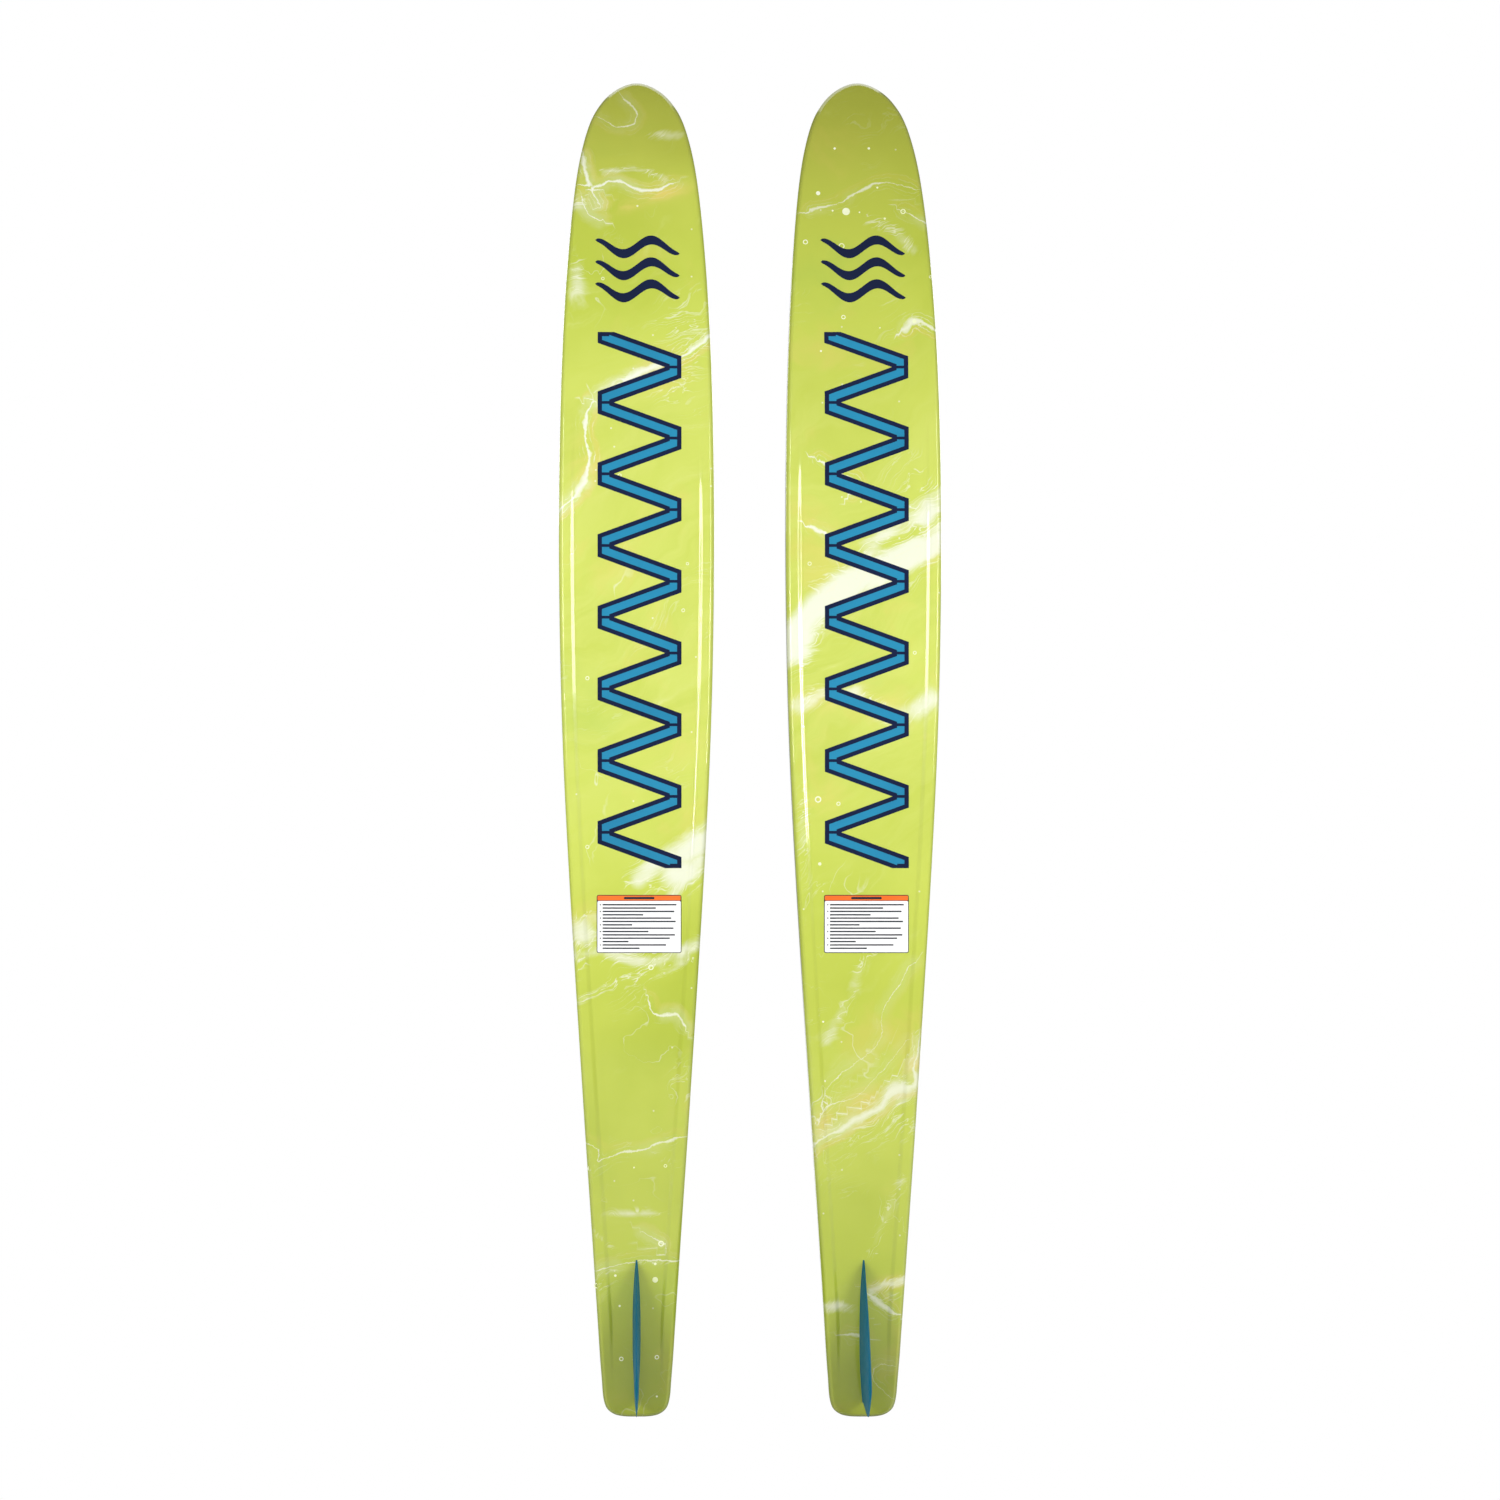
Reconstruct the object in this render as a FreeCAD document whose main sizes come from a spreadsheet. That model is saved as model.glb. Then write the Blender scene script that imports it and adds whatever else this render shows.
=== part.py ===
import FreeCAD, Part
import math
import os
import Sketcher

V = FreeCAD.Vector

# A pair of combination water skis, standing on their tails.
# +Z runs along the skis from the tails to the tips, the bases face -Y, the decks and bindings face +Y.
# Each ski is drawn about its own centre line: y = 0 is the flat middle of its base, z = 0 its tail.

SIZES = [
    ("ski_length", 1600), ("ski_spacing", 268), ("base_level", -43.5), ("ski_thick", 21), ("tip_thick", 11), ("tail_thick", 12),
    ("tip_rocker", 62), ("tail_rocker", 10), ("flat_front", 1000), ("flat_back", 330),
    ("base_bevel", 4), ("deck_round", 5), ("tunnel_inset", 13.5), ("tunnel_wall", 4.5), ("tunnel_depth", 2.5),
    ("tunnel_front", 1230), ("skin_side", 3), ("skin_base", 4.5), ("skin_deck", 1.8), ("parting", 5.5),
    ("fin_lead", 186), ("fin_root", 18), ("fin_height", 57), ("fin_width", 7.7), ("fin_crest_width", 3),
    ("fin_screw_a", 66), ("fin_screw_b", 116), ("fin_screw_radius", 2.1), ("fin_screw_reach", 18),
    ("fin_seat_radius", 7.4),
    ("insert_radius", 4.5), ("insert_depth", 14), ("insert_bore", 2.5), ("screw_radius", 2.45),
    ("head_radius", 5), ("head_height", 3.2), ("washer_radius", 6.5), ("washer_thick", 1.2),
    ("plate_back", 540), ("plate_front", 965), ("plate_half", 58), ("plate_thick", 3), ("plate_corner", 14),
    ("plate_screw_x", 38), ("plate_screw_back", 553), ("plate_screw_front", 953), ("hole_radius", 2.7),
    ("channel_back", 563), ("channel_front", 768), ("channel_in", 50), ("channel_out", 54.5), ("lip_in", 45.3),
    ("channel_high", 6.6), ("lip_low", 4.6),
    ("carriage_back", 585), ("carriage_front", 735), ("carriage_half", 49.4), ("carriage_low", 0.4),
    ("carriage_thick", 3.6), ("groove_half", 9), ("groove_high", 1.9),
    ("strip_half", 8), ("strip_back", 567), ("strip_front", 632), ("strip_thick", 1.5), ("strip_pitch", 6),
    ("cup_back", 627), ("cup_front", 735), ("cup_half", 33), ("cup_wall", 4.5), ("cup_high", 92),
    ("cup_side", 34), ("flange_out", 7), ("flange_thick", 3.5), ("rail_thick", 3.5),
    ("heel_pad_gap", 0.6), ("heel_pad_thick", 5), ("tab_half", 10), ("tab_low", 66), ("tab_high", 116),
    ("tab_thick", 3.2),
    ("pin_z", 600), ("pin_y", 9), ("pin_radius", 2), ("pin_play", 0.06), ("pin_half", 16.6),
    ("ear_in", 12), ("ear_out", 16.5), ("ear_high", 13.2), ("ear_half", 5), ("lever_half", 11.5),
    ("lever_reach", 36), ("lever_thick", 3.4), ("cam_radius", 4.4),
    ("toe_back", 792), ("toe_front", 912), ("toe_half", 46), ("toe_wall", 4.5), ("toe_high_back", 80),
    ("toe_high_front", 50), ("toe_flange_thick", 3.5), ("clamp_thick", 4), ("clamp_in", 50.9),
    ("toe_screw_x", 54.4), ("toe_screw_radius", 1.9), ("toe_head_radius", 3.3), ("toe_head_height", 2.2),
    ("bed_back", 766), ("bed_front", 938), ("bed_half", 45.4), ("bed_thick", 6), ("bed_corner", 20),
    ("rear_back", 335), ("rear_front", 525), ("rear_half", 52), ("rear_screw_x", 30), ("rear_screw_a", 345),
    ("rear_screw_b", 515), ("loop_back", 388), ("loop_front", 492), ("loop_half", 41), ("loop_wall", 4),
    ("loop_high_back", 66), ("loop_high_front", 48), ("loop_clamp_in", 45.4), ("rear_pad_half", 40.4),
    ("rear_pad_back", 356), ("rear_pad_front", 504), ("rear_pad_thick", 5),
]

doc = FreeCAD.newDocument("water_ski_pair")
dims = doc.addObject("Spreadsheet::Sheet", "dims")
for row, (alias, value) in enumerate(SIZES):
    cell = "A%d" % (row + 1)
    dims.set(cell, str(value))
    dims.setAlias(cell, alias)
doc.recompute()


class Size:
    """A length that carries its value and the spreadsheet expression that gives it."""

    def __init__(self, value, text):
        self.value, self.text = float(value), text

    def _join(self, other, sign, value):
        right = other.text if isinstance(other, Size) else repr(float(other))
        return Size(value, "(%s %s %s)" % (self.text, sign, right))

    def __add__(self, other):
        return self._join(other, "+", self.value + float(other))

    def __sub__(self, other):
        return self._join(other, "-", self.value - float(other))

    def __mul__(self, other):
        return self._join(other, "*", self.value * float(other))

    def __neg__(self):
        return Size(-self.value, "(0 - %s)" % self.text)

    def __float__(self):
        return self.value


def q(alias):
    return Size(float(dims.get(alias)), "dims." + alias)


def n(alias):
    return float(dims.get(alias))


def text_of(size):
    return size.text if isinstance(size, Size) else repr(float(size))


ZERO = Size(0, "0")
nodes = {}


def placed(shift):
    """Where a ski's own frame stands in the frame of the pair: across by shift, its flat base at base_level."""
    return FreeCAD.Placement(V(shift, n("base_level"), 0), FreeCAD.Rotation())


def keep(node, obj):
    obj.Label = node
    nodes[node] = obj
    return obj


# ---------------------------------------------------------------- sketch based bodies

def make_body(node, shift):
    body = doc.addObject("PartDesign::Body", node + "_body")
    body.Placement = placed(shift)
    return keep(node, body)


def make_sketch(body, role, offset=ZERO):
    sketch = body.newObject("Sketcher::SketchObject", "sketch")
    for plane in body.Origin.OriginFeatures:
        if plane.Role == role:
            sketch.AttachmentSupport = [(plane, "")]
    sketch.MapMode = "FlatFace"
    # the XZ plane looks along -Y, so a height y is an offset of -y
    turn = -1.0 if role == "XZ_Plane" else 1.0
    sketch.AttachmentOffset = FreeCAD.Placement(V(0, 0, turn * float(offset)), FreeCAD.Rotation())
    sketch.setExpression("AttachmentOffset.Base.z", "%s * %s" % (repr(turn), text_of(offset)))
    return sketch


def tie(sketch, geo, point, x, y):
    """Hold a point of the sketch at (x, y) from the origin, both bound to the spreadsheet."""
    for kind, size in (("DistanceX", x), ("DistanceY", y)):
        index = sketch.addConstraint(Sketcher.Constraint(kind, -1, 1, geo, point, float(size)))
        name = "k%d" % index
        sketch.renameConstraint(index, name)
        sketch.setExpression("Constraints." + name, text_of(size))


def polygon(sketch, points):
    """A closed outline of straight lines through (x, y) sizes."""
    first = sketch.GeometryCount
    for i, a in enumerate(points):
        b = points[(i + 1) % len(points)]
        sketch.addGeometry(Part.LineSegment(V(float(a[0]), float(a[1]), 0), V(float(b[0]), float(b[1]), 0)), False)
    for i in range(len(points)):
        sketch.addConstraint(Sketcher.Constraint("Coincident", first + i, 2, first + (i + 1) % len(points), 1))
        tie(sketch, first + i, 1, points[i][0], points[i][1])


def rectangle(sketch, x0, x1, y0, y1):
    polygon(sketch, [(x0, y0), (x1, y0), (x1, y1), (x0, y1)])


def circle(sketch, x, y, radius):
    geo = sketch.addGeometry(Part.Circle(V(float(x), float(y), 0), V(0, 0, 1), float(radius)), False)
    tie(sketch, geo, 3, x, y)
    index = sketch.addConstraint(Sketcher.Constraint("Radius", geo, float(radius)))
    sketch.renameConstraint(index, "k%d" % index)
    sketch.setExpression("Constraints.k%d" % index, text_of(radius))


def pad(body, sketch, length, up=True, both=False):
    feature = body.newObject("PartDesign::Pad", "pad")
    feature.Profile = sketch
    feature.Length = float(length)
    feature.setExpression("Length", text_of(length))
    feature.Reversed = up
    feature.Midplane = both
    body.Tip = feature
    doc.recompute()
    return feature


def pocket(body, sketch, depth=None, up=False, both=False):
    """Cut along the sketch's own normal or against it; the volume has to fall."""
    before = body.Shape.Volume
    feature = body.newObject("PartDesign::Pocket", "pocket")
    feature.Profile = sketch
    if depth is None:
        feature.Type = 1
    else:
        feature.Length = float(depth)
        feature.setExpression("Length", text_of(depth))
    # a pocket runs against its sketch's normal, which is -Y on the XZ plane
    across_x = "YZ" in sketch.AttachmentSupport[0][0].Role
    feature.Reversed = up if across_x else not up
    feature.Midplane = both
    body.Tip = feature
    doc.recompute()
    if body.Shape.Volume > before - 1e-3:
        raise RuntimeError("a pocket of %s cuts nothing" % body.Label)
    return feature


def round_edges(body, test, radius):
    base = body.Tip
    names = ["Edge%d" % (i + 1) for i, edge in enumerate(base.Shape.Edges) if test(edge)]
    feature = body.newObject("PartDesign::Fillet", "fillet")
    feature.Base = (base, names)
    feature.Radius = float(radius)
    feature.setExpression("Radius", text_of(radius))
    body.Tip = feature
    doc.recompute()
    return feature


def upright(edge):
    """A straight edge along Y: the corner of a plate that lies on the deck."""
    if len(edge.Vertexes) != 2:
        return False
    a, b = edge.Vertexes[0].Point, edge.Vertexes[1].Point
    return abs(a.x - b.x) < 1e-4 and abs(a.z - b.z) < 1e-4 and abs(a.y - b.y) > 0.5


def at_height(y):
    def test(edge):
        return all(abs(v.Point.y - y) < 1e-4 for v in edge.Vertexes)
    return test


def feature_of(node, shape, shift):
    obj = doc.addObject("Part::Feature", node + "_shape")
    obj.Shape = shape
    obj.Placement = placed(shift)
    return keep(node, obj)


# ---------------------------------------------------------------- the ski's own curves

# half width of the outline against the distance from the tail
OUTLINE = [(6, 0), (13, 0.2), (19, 0.9), (25.5, 2.6), (31.0, 5.7), (35.2, 10.0), (38.0, 16.5), (39.7, 25), (40.9, 40),
           (42.6, 62), (44.8, 95), (48.3, 150), (54.8, 250), (60.2, 330), (66.0, 420), (72.0, 515), (77.2, 600),
           (82.0, 685), (85.9, 765), (89.2, 860), (91.1, 960), (91.5, 1000), (91.7, 1060), (91.0, 1140),
           (89.2, 1225), (85.6, 1315), (81.6, 1378), (77.3, 1430), (72.9, 1470), (68.3, 1500), (62.9, 1525),
           (57.1, 1545), (50.8, 1560), (44.2, 1571), (37.4, 1580), (29.0, 1588), (19.5, 1594.4), (9.5, 1598.6),
           (3, 1599.9)]


def base_y(z):
    """Height of the base at z: flat in the middle, rising to the deck side at both ends."""
    tip = max(0.0, (z - n("flat_front")) / (n("ski_length") - n("flat_front")))
    tail = max(0.0, (n("flat_back") - z) / n("flat_back"))
    return n("tip_rocker") * tip ** 2.4 + n("tail_rocker") * tail ** 2


def deck_y(z):
    u = min(1.0, max(0.0, (z - n("flat_front")) / (n("ski_length") - n("flat_front"))))
    v = min(1.0, max(0.0, (n("flat_back") - z) / n("flat_back")))
    thick = n("ski_thick") - (n("ski_thick") - n("tip_thick")) * u * u * (3 - 2 * u)
    thick -= (n("ski_thick") - n("tail_thick")) * v * v * (3 - 2 * v)
    return base_y(z) + thick


def tunnel_floor(z):
    """The tunnel's floor; it runs out of the base before the tip and at the tail."""
    front = min(1.0, max(0.0, (n("tunnel_front") - z) / (n("tunnel_front") - n("flat_front") - 20)))
    back = min(1.0, max(0.0, (z - 14) / 90.0))
    depth = front * front * (3 - 2 * front) * back * back * (3 - 2 * back)
    return base_y(z) + n("tunnel_depth") * depth


def arc_of(points, tangents, marks):
    curve = Part.BSplineCurve()
    curve.interpolate(Points=points, InitialTangent=tangents[0], FinalTangent=tangents[1], Parameters=marks, Scale=False)
    return curve


side_points = [V(x, 0, z) for x, z in OUTLINE]
side_marks = [0.0]
for first, second in zip(side_points, side_points[1:]):
    side_marks.append(side_marks[-1] + (second - first).Length)
side_curve = arc_of(side_points, (V(1, 0, 0.01), V(-1, 0, 0.05)), side_marks)
SPLITS = [i for i, point in enumerate(side_points) if point.z in (330, 1000)]


def ring(inset, height):
    """The outline moved inwards by inset, at y = height(z): eight edges, from the tail line round to the tail."""
    spots = []
    for mark in side_marks:
        point, along = side_curve.getD1(mark)
        along.normalize()
        near_end = min(1.0, point.z / 130.0, (n("ski_length") - point.z) / 130.0)
        ease = 0.5 + 0.5 * near_end * near_end * (3 - 2 * near_end)
        step = inset if inset <= 6 else 6 + (inset - 6) * ease
        x, z = point.x - along.z * step, point.z + along.x * step
        if mark in (side_marks[0], side_marks[-1]):
            x = point.x
        spots.append((x, z, along))
    def run(a, b, flip):
        def direction(i):
            x, z, along = spots[i]
            rise = (height(z + 0.2) - height(z - 0.2)) / 0.4
            return V(flip * along.x, rise * along.z, along.z)
        points = [V(flip * x, height(z), z) for x, z, along in spots[a:b + 1]]
        return arc_of(points, (direction(a), direction(b)), side_marks[a:b + 1]).toShape()
    bounds = [0] + SPLITS + [len(spots) - 1]
    right = [run(a, b, 1.0) for a, b in zip(bounds, bounds[1:])]
    left = [run(a, b, -1.0) for a, b in zip(bounds, bounds[1:])]
    def corner(index, flip):
        x, z, along = spots[index]
        return V(flip * x, height(z), z)
    tail = Part.LineSegment(corner(0, -1), corner(0, 1)).toShape()
    tip = Part.LineSegment(corner(-1, -1), corner(-1, 1)).toShape()
    return {"right": right, "left": left, "tail": tail, "tip": tip}


def wall(one, other):
    faces = []
    for side in ("right", "left"):
        faces += [Part.makeRuledSurface(a, b) for a, b in zip(one[side], other[side])]
    faces.append(Part.makeRuledSurface(one["tail"], other["tail"]))
    faces.append(Part.makeRuledSurface(one["tip"], other["tip"]))
    return faces


def cap(one):
    """The skin that spans a ring from side to side."""
    return [Part.makeRuledSurface(a, b) for a, b in zip(one["right"], one["left"])]


def solid_of(faces):
    shell = Part.makeShell(faces)
    shell.sewShape()
    solid = Part.makeSolid(shell)
    if solid.Volume < 0:
        solid.reverse()
    return solid


def rise(height, amount):
    return lambda z: height(z) + amount


def ski_shapes():
    """Base shell, deck shell, core and outer solid of one ski."""
    bevel, crown, side = n("base_bevel"), n("deck_round"), n("skin_side")
    split = rise(base_y, n("parting"))
    edge = ring(0, split)
    low = [edge, ring(0, rise(base_y, bevel)), ring(bevel * 1.1, base_y), ring(n("tunnel_inset"), base_y),
           ring(n("tunnel_inset") + n("tunnel_wall"), tunnel_floor)]
    high = [edge, ring(0, rise(deck_y, -crown)), ring(crown * 0.29, rise(deck_y, -crown * 0.29)), ring(crown, deck_y)]
    inner_edge = ring(side, split)
    core_low, core_high = ring(side, rise(base_y, n("skin_base"))), ring(side, rise(deck_y, -n("skin_deck")))

    def chain(rings):
        faces = []
        for a, b in zip(rings, rings[1:]):
            faces += wall(a, b)
        return faces
    base = solid_of(chain(low) + cap(low[-1]) + chain([edge, inner_edge, core_low]) + cap(core_low))
    deck = solid_of(chain(high) + cap(high[-1]) + chain([edge, inner_edge, core_high]) + cap(core_high))
    core = solid_of(chain([core_low, core_high]) + cap(core_low) + cap(core_high))
    whole = solid_of(chain(low) + cap(low[-1]) + chain(high) + cap(high[-1]))
    return base, deck, core, whole


def post(x, z, radius, low, high):
    return Part.makeCylinder(radius, high - low, V(x, low, z), V(0, 1, 0))


def lathe(profile, x, y, z):
    """A turned piece from (radius, height) points, its axis along +Y through (x, y, z)."""
    points = [V(radius, height, 0) for radius, height in profile]
    wire = Part.makePolygon(points + [points[0]])
    piece = Part.Face(wire).revolve(V(0, 0, 0), V(0, 1, 0), 360)
    piece.translate(V(x, y, z))
    return piece


def cross_recess(x, top, z, reach, depth):
    arm = reach * 0.3
    one = Part.makeBox(2 * reach, depth + 1, arm, V(x - reach, top - depth, z - arm / 2))
    two = Part.makeBox(arm, depth + 1, 2 * reach, V(x - arm / 2, top - depth, z - reach))
    return one.fuse(two)


def machine_screw(x, seat, z, shank, low, head, head_high):
    """A domed screw: seat is the height that the head sits on, low the height of its point."""
    rim = head_high * 0.45
    profile = [(0, low - seat), (shank * 0.7, low - seat), (shank, low - seat + shank * 0.6), (shank, 0), (head, 0),
               (head, rim), (head * 0.86, head_high * 0.8), (head * 0.55, head_high), (0, head_high)]
    return lathe(profile, x, seat, z).cut(cross_recess(x, seat + head_high, z, head * 0.52, head_high * 0.5))


def cup_washer(x, seat, z, radius, bore, thick):
    profile = [(bore, 0), (radius, 0), (radius, thick * 0.5), (radius - 0.7, thick), (bore, thick)]
    return lathe(profile, x, seat, z)


def knurled_insert(x, top, z):
    radius, bore, deep = n("insert_radius"), n("insert_bore"), n("insert_depth")
    profile = [(bore, -deep + 2), (bore, 0), (radius, 0), (radius, -1.6), (radius - 0.45, -2.1), (radius - 0.45, -3.2),
               (radius, -3.7), (radius, -deep + 1), (radius - 0.8, -deep), (0, -deep), (0, -deep + 2)]
    return lathe(profile, x, top, z)


def group(shapes):
    return Part.makeCompound(shapes)


DECK = q("ski_thick")
PLATE_TOP = q("ski_thick") + q("plate_thick")
CARRIAGE_LOW = PLATE_TOP + q("carriage_low")
CARRIAGE_TOP = CARRIAGE_LOW + q("carriage_thick")
FLANGE_TOP = CARRIAGE_TOP + q("flange_thick")
RAIL_TOP = FLANGE_TOP + q("rail_thick")
PIN_Y = PLATE_TOP + q("pin_y")


def four(x, z0, z1):
    return [(x, z0), (-x, z0), (x, z1), (-x, z1)]


PLATE_SPOTS = four(n("plate_screw_x"), n("plate_screw_back"), n("plate_screw_front"))
REAR_SPOTS = four(n("rear_screw_x"), n("rear_screw_a"), n("rear_screw_b"))
FIN_SPOTS = [n("fin_screw_a"), n("fin_screw_b")]


def arch_solid(half, high_back, high_front, z0, z1, y0, drop):
    """A solid tunnel form: an arched section lofted from z0 to z1; its foot is at y0 - drop."""
    wires = []
    for i in range(4):
        f = i / 3.0
        z = z0 + (z1 - z0) * f
        high = high_back + (high_front - high_back) * (f * 0.75 + 0.25 * f * f)
        points = []
        for k in range(13):
            turn = math.pi * k / 12.0
            c, s = math.cos(turn), math.sin(turn)
            x = half * math.copysign(abs(c) ** 0.78, c)
            points.append(V(x, y0 + high * abs(s) ** 0.8, z))
        points[0], points[-1] = V(half, y0, z), V(-half, y0, z)
        curve = Part.BSplineCurve()
        curve.interpolate(Points=points)
        foot = [V(-half, y0, z), V(half, y0, z)]
        if drop:
            foot = [foot[0], V(-half, y0 - drop, z), V(half, y0 - drop, z), foot[1]]
        wires.append(Part.Wire([curve.toShape()] + [Part.LineSegment(a, b).toShape() for a, b in zip(foot, foot[1:])]))
    return Part.makeLoft(wires, True, False)


def strap_over(half, thick, high_back, high_front, z0, z1, y0, flange_half, flange_thick, lean):
    """A stretch overlay: an arched tunnel open at both ends, with a flange along each foot."""
    outer = arch_solid(half + thick, high_back + thick, high_front + thick, z0, z1, y0, 0.0)
    grow = (high_back - high_front) / (z1 - z0) * 4
    inner = arch_solid(half, high_back + grow, high_front - grow * 0.6, z0 - 4, z1 + 4, y0, 4.0)
    flanges = Part.makeBox(2 * flange_half, flange_thick, z1 - z0, V(-flange_half, y0, z0))
    shell = outer.fuse(flanges).cut(inner)
    # both mouths lean with the instep, and the front mouth dips over the toes
    far = y0 + high_back + 40
    back = Part.Face(Part.makePolygon([V(-90, y0 + flange_thick + 3, z0 - 1), V(-90, far, z0 - 1),
                                       V(-90, far, z0 + lean), V(-90, y0 + flange_thick + 3, z0 - 1)]))
    front = Part.Face(Part.makePolygon([V(-90, y0 + flange_thick + 3, z1 + 1), V(-90, far, z1 + 1),
                                        V(-90, far, z1 - lean * 1.5), V(-90, y0 + flange_thick + 3, z1 + 1)]))
    return shell.cut(back.extrude(V(180, 0, 0))).cut(front.extrude(V(180, 0, 0)))


def horseshoe(half, back_out, front, low, high):
    """A solid U plan, open end forwards: straight sides half apart and a round back at back_out."""
    z0 = back_out + half
    arc = Part.Arc(V(half, low, z0), V(0, low, back_out), V(-half, low, z0)).toShape()
    sides = [Part.LineSegment(V(-half, low, z0), V(-half, low, front)).toShape(),
             Part.LineSegment(V(-half, low, front), V(half, low, front)).toShape(),
             Part.LineSegment(V(half, low, front), V(half, low, z0)).toShape()]
    return Part.Face(Part.Wire([arc] + sides)).extrude(V(0, high - low, 0))


def heel_cup_shape():
    half, thick, back, front = n("cup_half"), n("cup_wall"), n("cup_back"), n("cup_front")
    low, high = float(CARRIAGE_TOP), float(CARRIAGE_TOP) + n("cup_high")
    out, flange = n("flange_out"), n("flange_thick")
    wall_solid = horseshoe(half + thick, back, front, low, high + 5)
    flange_solid = horseshoe(half + thick + out, back - out, front, low, low + flange)
    hollow = horseshoe(half, back + thick, front + 10, low - 1, high + 6)
    shell = wall_solid.fuse(flange_solid).cut(hollow)
    # the rim: high at the heel, sweeping down to low sides
    rim = Part.BSplineCurve()
    rim.interpolate(Points=[V(-60, high - 4, back - out - 2), V(-60, high, back + 6), V(-60, high - 12, back + 26),
                            V(-60, low + n("cup_side") + 22, back + 52), V(-60, low + n("cup_side") + 3, back + 82),
                            V(-60, low + n("cup_side") - 4, front + 2)])
    edge = rim.toShape()
    a, b = edge.Vertexes[0].Point, edge.Vertexes[-1].Point
    top = [V(-60, high + 30, b.z), V(-60, high + 30, a.z)]
    wire = Part.Wire([edge, Part.LineSegment(b, top[0]).toShape(), Part.LineSegment(top[0], top[1]).toShape(),
                      Part.LineSegment(top[1], a).toShape()])
    return shell.cut(Part.Face(wire).extrude(V(120, 0, 0)))


def heel_screw_spots():
    mid = n("cup_half") + n("cup_wall") + n("flange_out") / 2.0
    z0 = n("cup_back") + n("cup_half") + n("cup_wall")
    return [(mid, n("cup_front") - 12), (-mid, n("cup_front") - 12), (mid, z0 + 8), (-mid, z0 + 8),
            (0.0, n("cup_back") - n("flange_out") / 2.0)]


def toe_screw_spots():
    zs = [n("toe_back") + 14, (n("toe_back") + n("toe_front")) / 2.0, n("toe_front") - 14]
    return [(side * n("toe_screw_x"), z) for side in (1, -1) for z in zs]


def loop_screw_spots():
    mid = (n("loop_clamp_in") + n("rear_half")) / 2.0
    return [(side * mid, z) for side in (1, -1) for z in (n("loop_back") + 16, n("loop_front") - 16)]


base_shape, deck_shape, core_shape, whole_shape = ski_shapes()


def build_ski(hand, shift):
    """The ski itself, its fin and the hardware inside it."""
    name = hand + "_"
    base, deck, core = base_shape, deck_shape, core_shape
    sockets = [post(x, z, n("insert_radius") + 0.03, n("ski_thick") - n("insert_depth") - 0.03, n("ski_thick") + 5)
               for x, z in PLATE_SPOTS + REAR_SPOTS]
    screws, washers, seats, bores = [], [], [], []
    for z in FIN_SPOTS:
        seat = deck_y(z) - 1.6
        screws.append(machine_screw(0, seat + 1.3, z, n("fin_screw_radius"), -n("fin_screw_reach"), 4.6, 2.6))
        washers.append(cup_washer(0, seat, z, n("fin_seat_radius") - 0.3, n("fin_screw_radius") + 0.1, 1.3))
        seats.append(post(0, z, n("fin_seat_radius"), seat, seat + 12))
        bores.append(post(0, z, n("fin_screw_radius") + 0.05, -n("fin_screw_reach") - 0.4, 40))
    for tool in bores:
        base = base.cut(tool)
    for tool in bores + sockets:
        core = core.cut(tool)
    for tool in bores + sockets + seats:
        deck = deck.cut(tool)
    core = core.cut(seats[0]).cut(seats[1])
    feature_of(name + "ski_base_shell", base, shift)
    feature_of(name + "ski_deck_shell", deck, shift)
    feature_of(name + "ski_core", core, shift)
    feature_of(name + "fin_screws", group(screws), shift)
    feature_of(name + "fin_screw_washers", group(washers), shift)
    feature_of(name + "binding_inserts", group([knurled_insert(x, n("ski_thick"), z) for x, z in PLATE_SPOTS]), shift)
    feature_of(name + "rear_inserts", group([knurled_insert(x, n("ski_thick"), z) for x, z in REAR_SPOTS]), shift)

    # the fin: leaf-shaped sections at even depths, lofted, then trimmed to the base it stands on
    body = make_body(name + "fin", shift)
    body.Label = name + "fin_leaf"
    stations = []
    for depth, front, back, share in ((-8, 5, 1, 1.0), (5, -7, 0, 0.98), (18, -25, -0.8, 0.92), (31, -49, -0.4, 0.81),
                                      (44, -79, 4.5, 0.66), (57, -114, 26, 0.45)):
        low, high = q("fin_root") + back, q("fin_lead") + front
        sketch = make_sketch(body, "XZ_Plane", -(q("fin_height") * (depth / 57.0)))
        half = q("fin_width") * (share / 2.0)
        mid = (float(low) + float(high)) / 2.0
        right = sketch.addGeometry(Part.Arc(V(0, float(low), 0), V(float(half), mid, 0), V(0, float(high), 0)), False)
        left = sketch.addGeometry(Part.Arc(V(0, float(high), 0), V(-float(half), mid, 0), V(0, float(low), 0)), False)
        stations.append(sketch)
    doc.recompute()
    loft = body.newObject("PartDesign::AdditiveLoft", "leaf")
    loft.Profile = stations[0]
    loft.Sections = stations[1:]
    loft.Ruled = False
    body.Tip = loft
    doc.recompute()
    envelope = doc.addObject("Part::Feature", name + "fin_trim")
    envelope.Shape = whole_shape.fuse(bores[0]).fuse(bores[1])
    envelope.Placement = placed(shift)
    fin = doc.addObject("Part::Cut", name + "fin_cut")
    fin.Base, fin.Tool = body, envelope
    del nodes[name + "fin"]
    keep(name + "fin", fin)
    doc.recompute()


def heel_screw_point(x):
    """The screws end inside the carriage; the middle one stops at the ceiling of its groove."""
    return float(CARRIAGE_LOW) + (n("groove_high") + 0.05 if abs(x) < n("groove_half") else 0.2)


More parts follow.
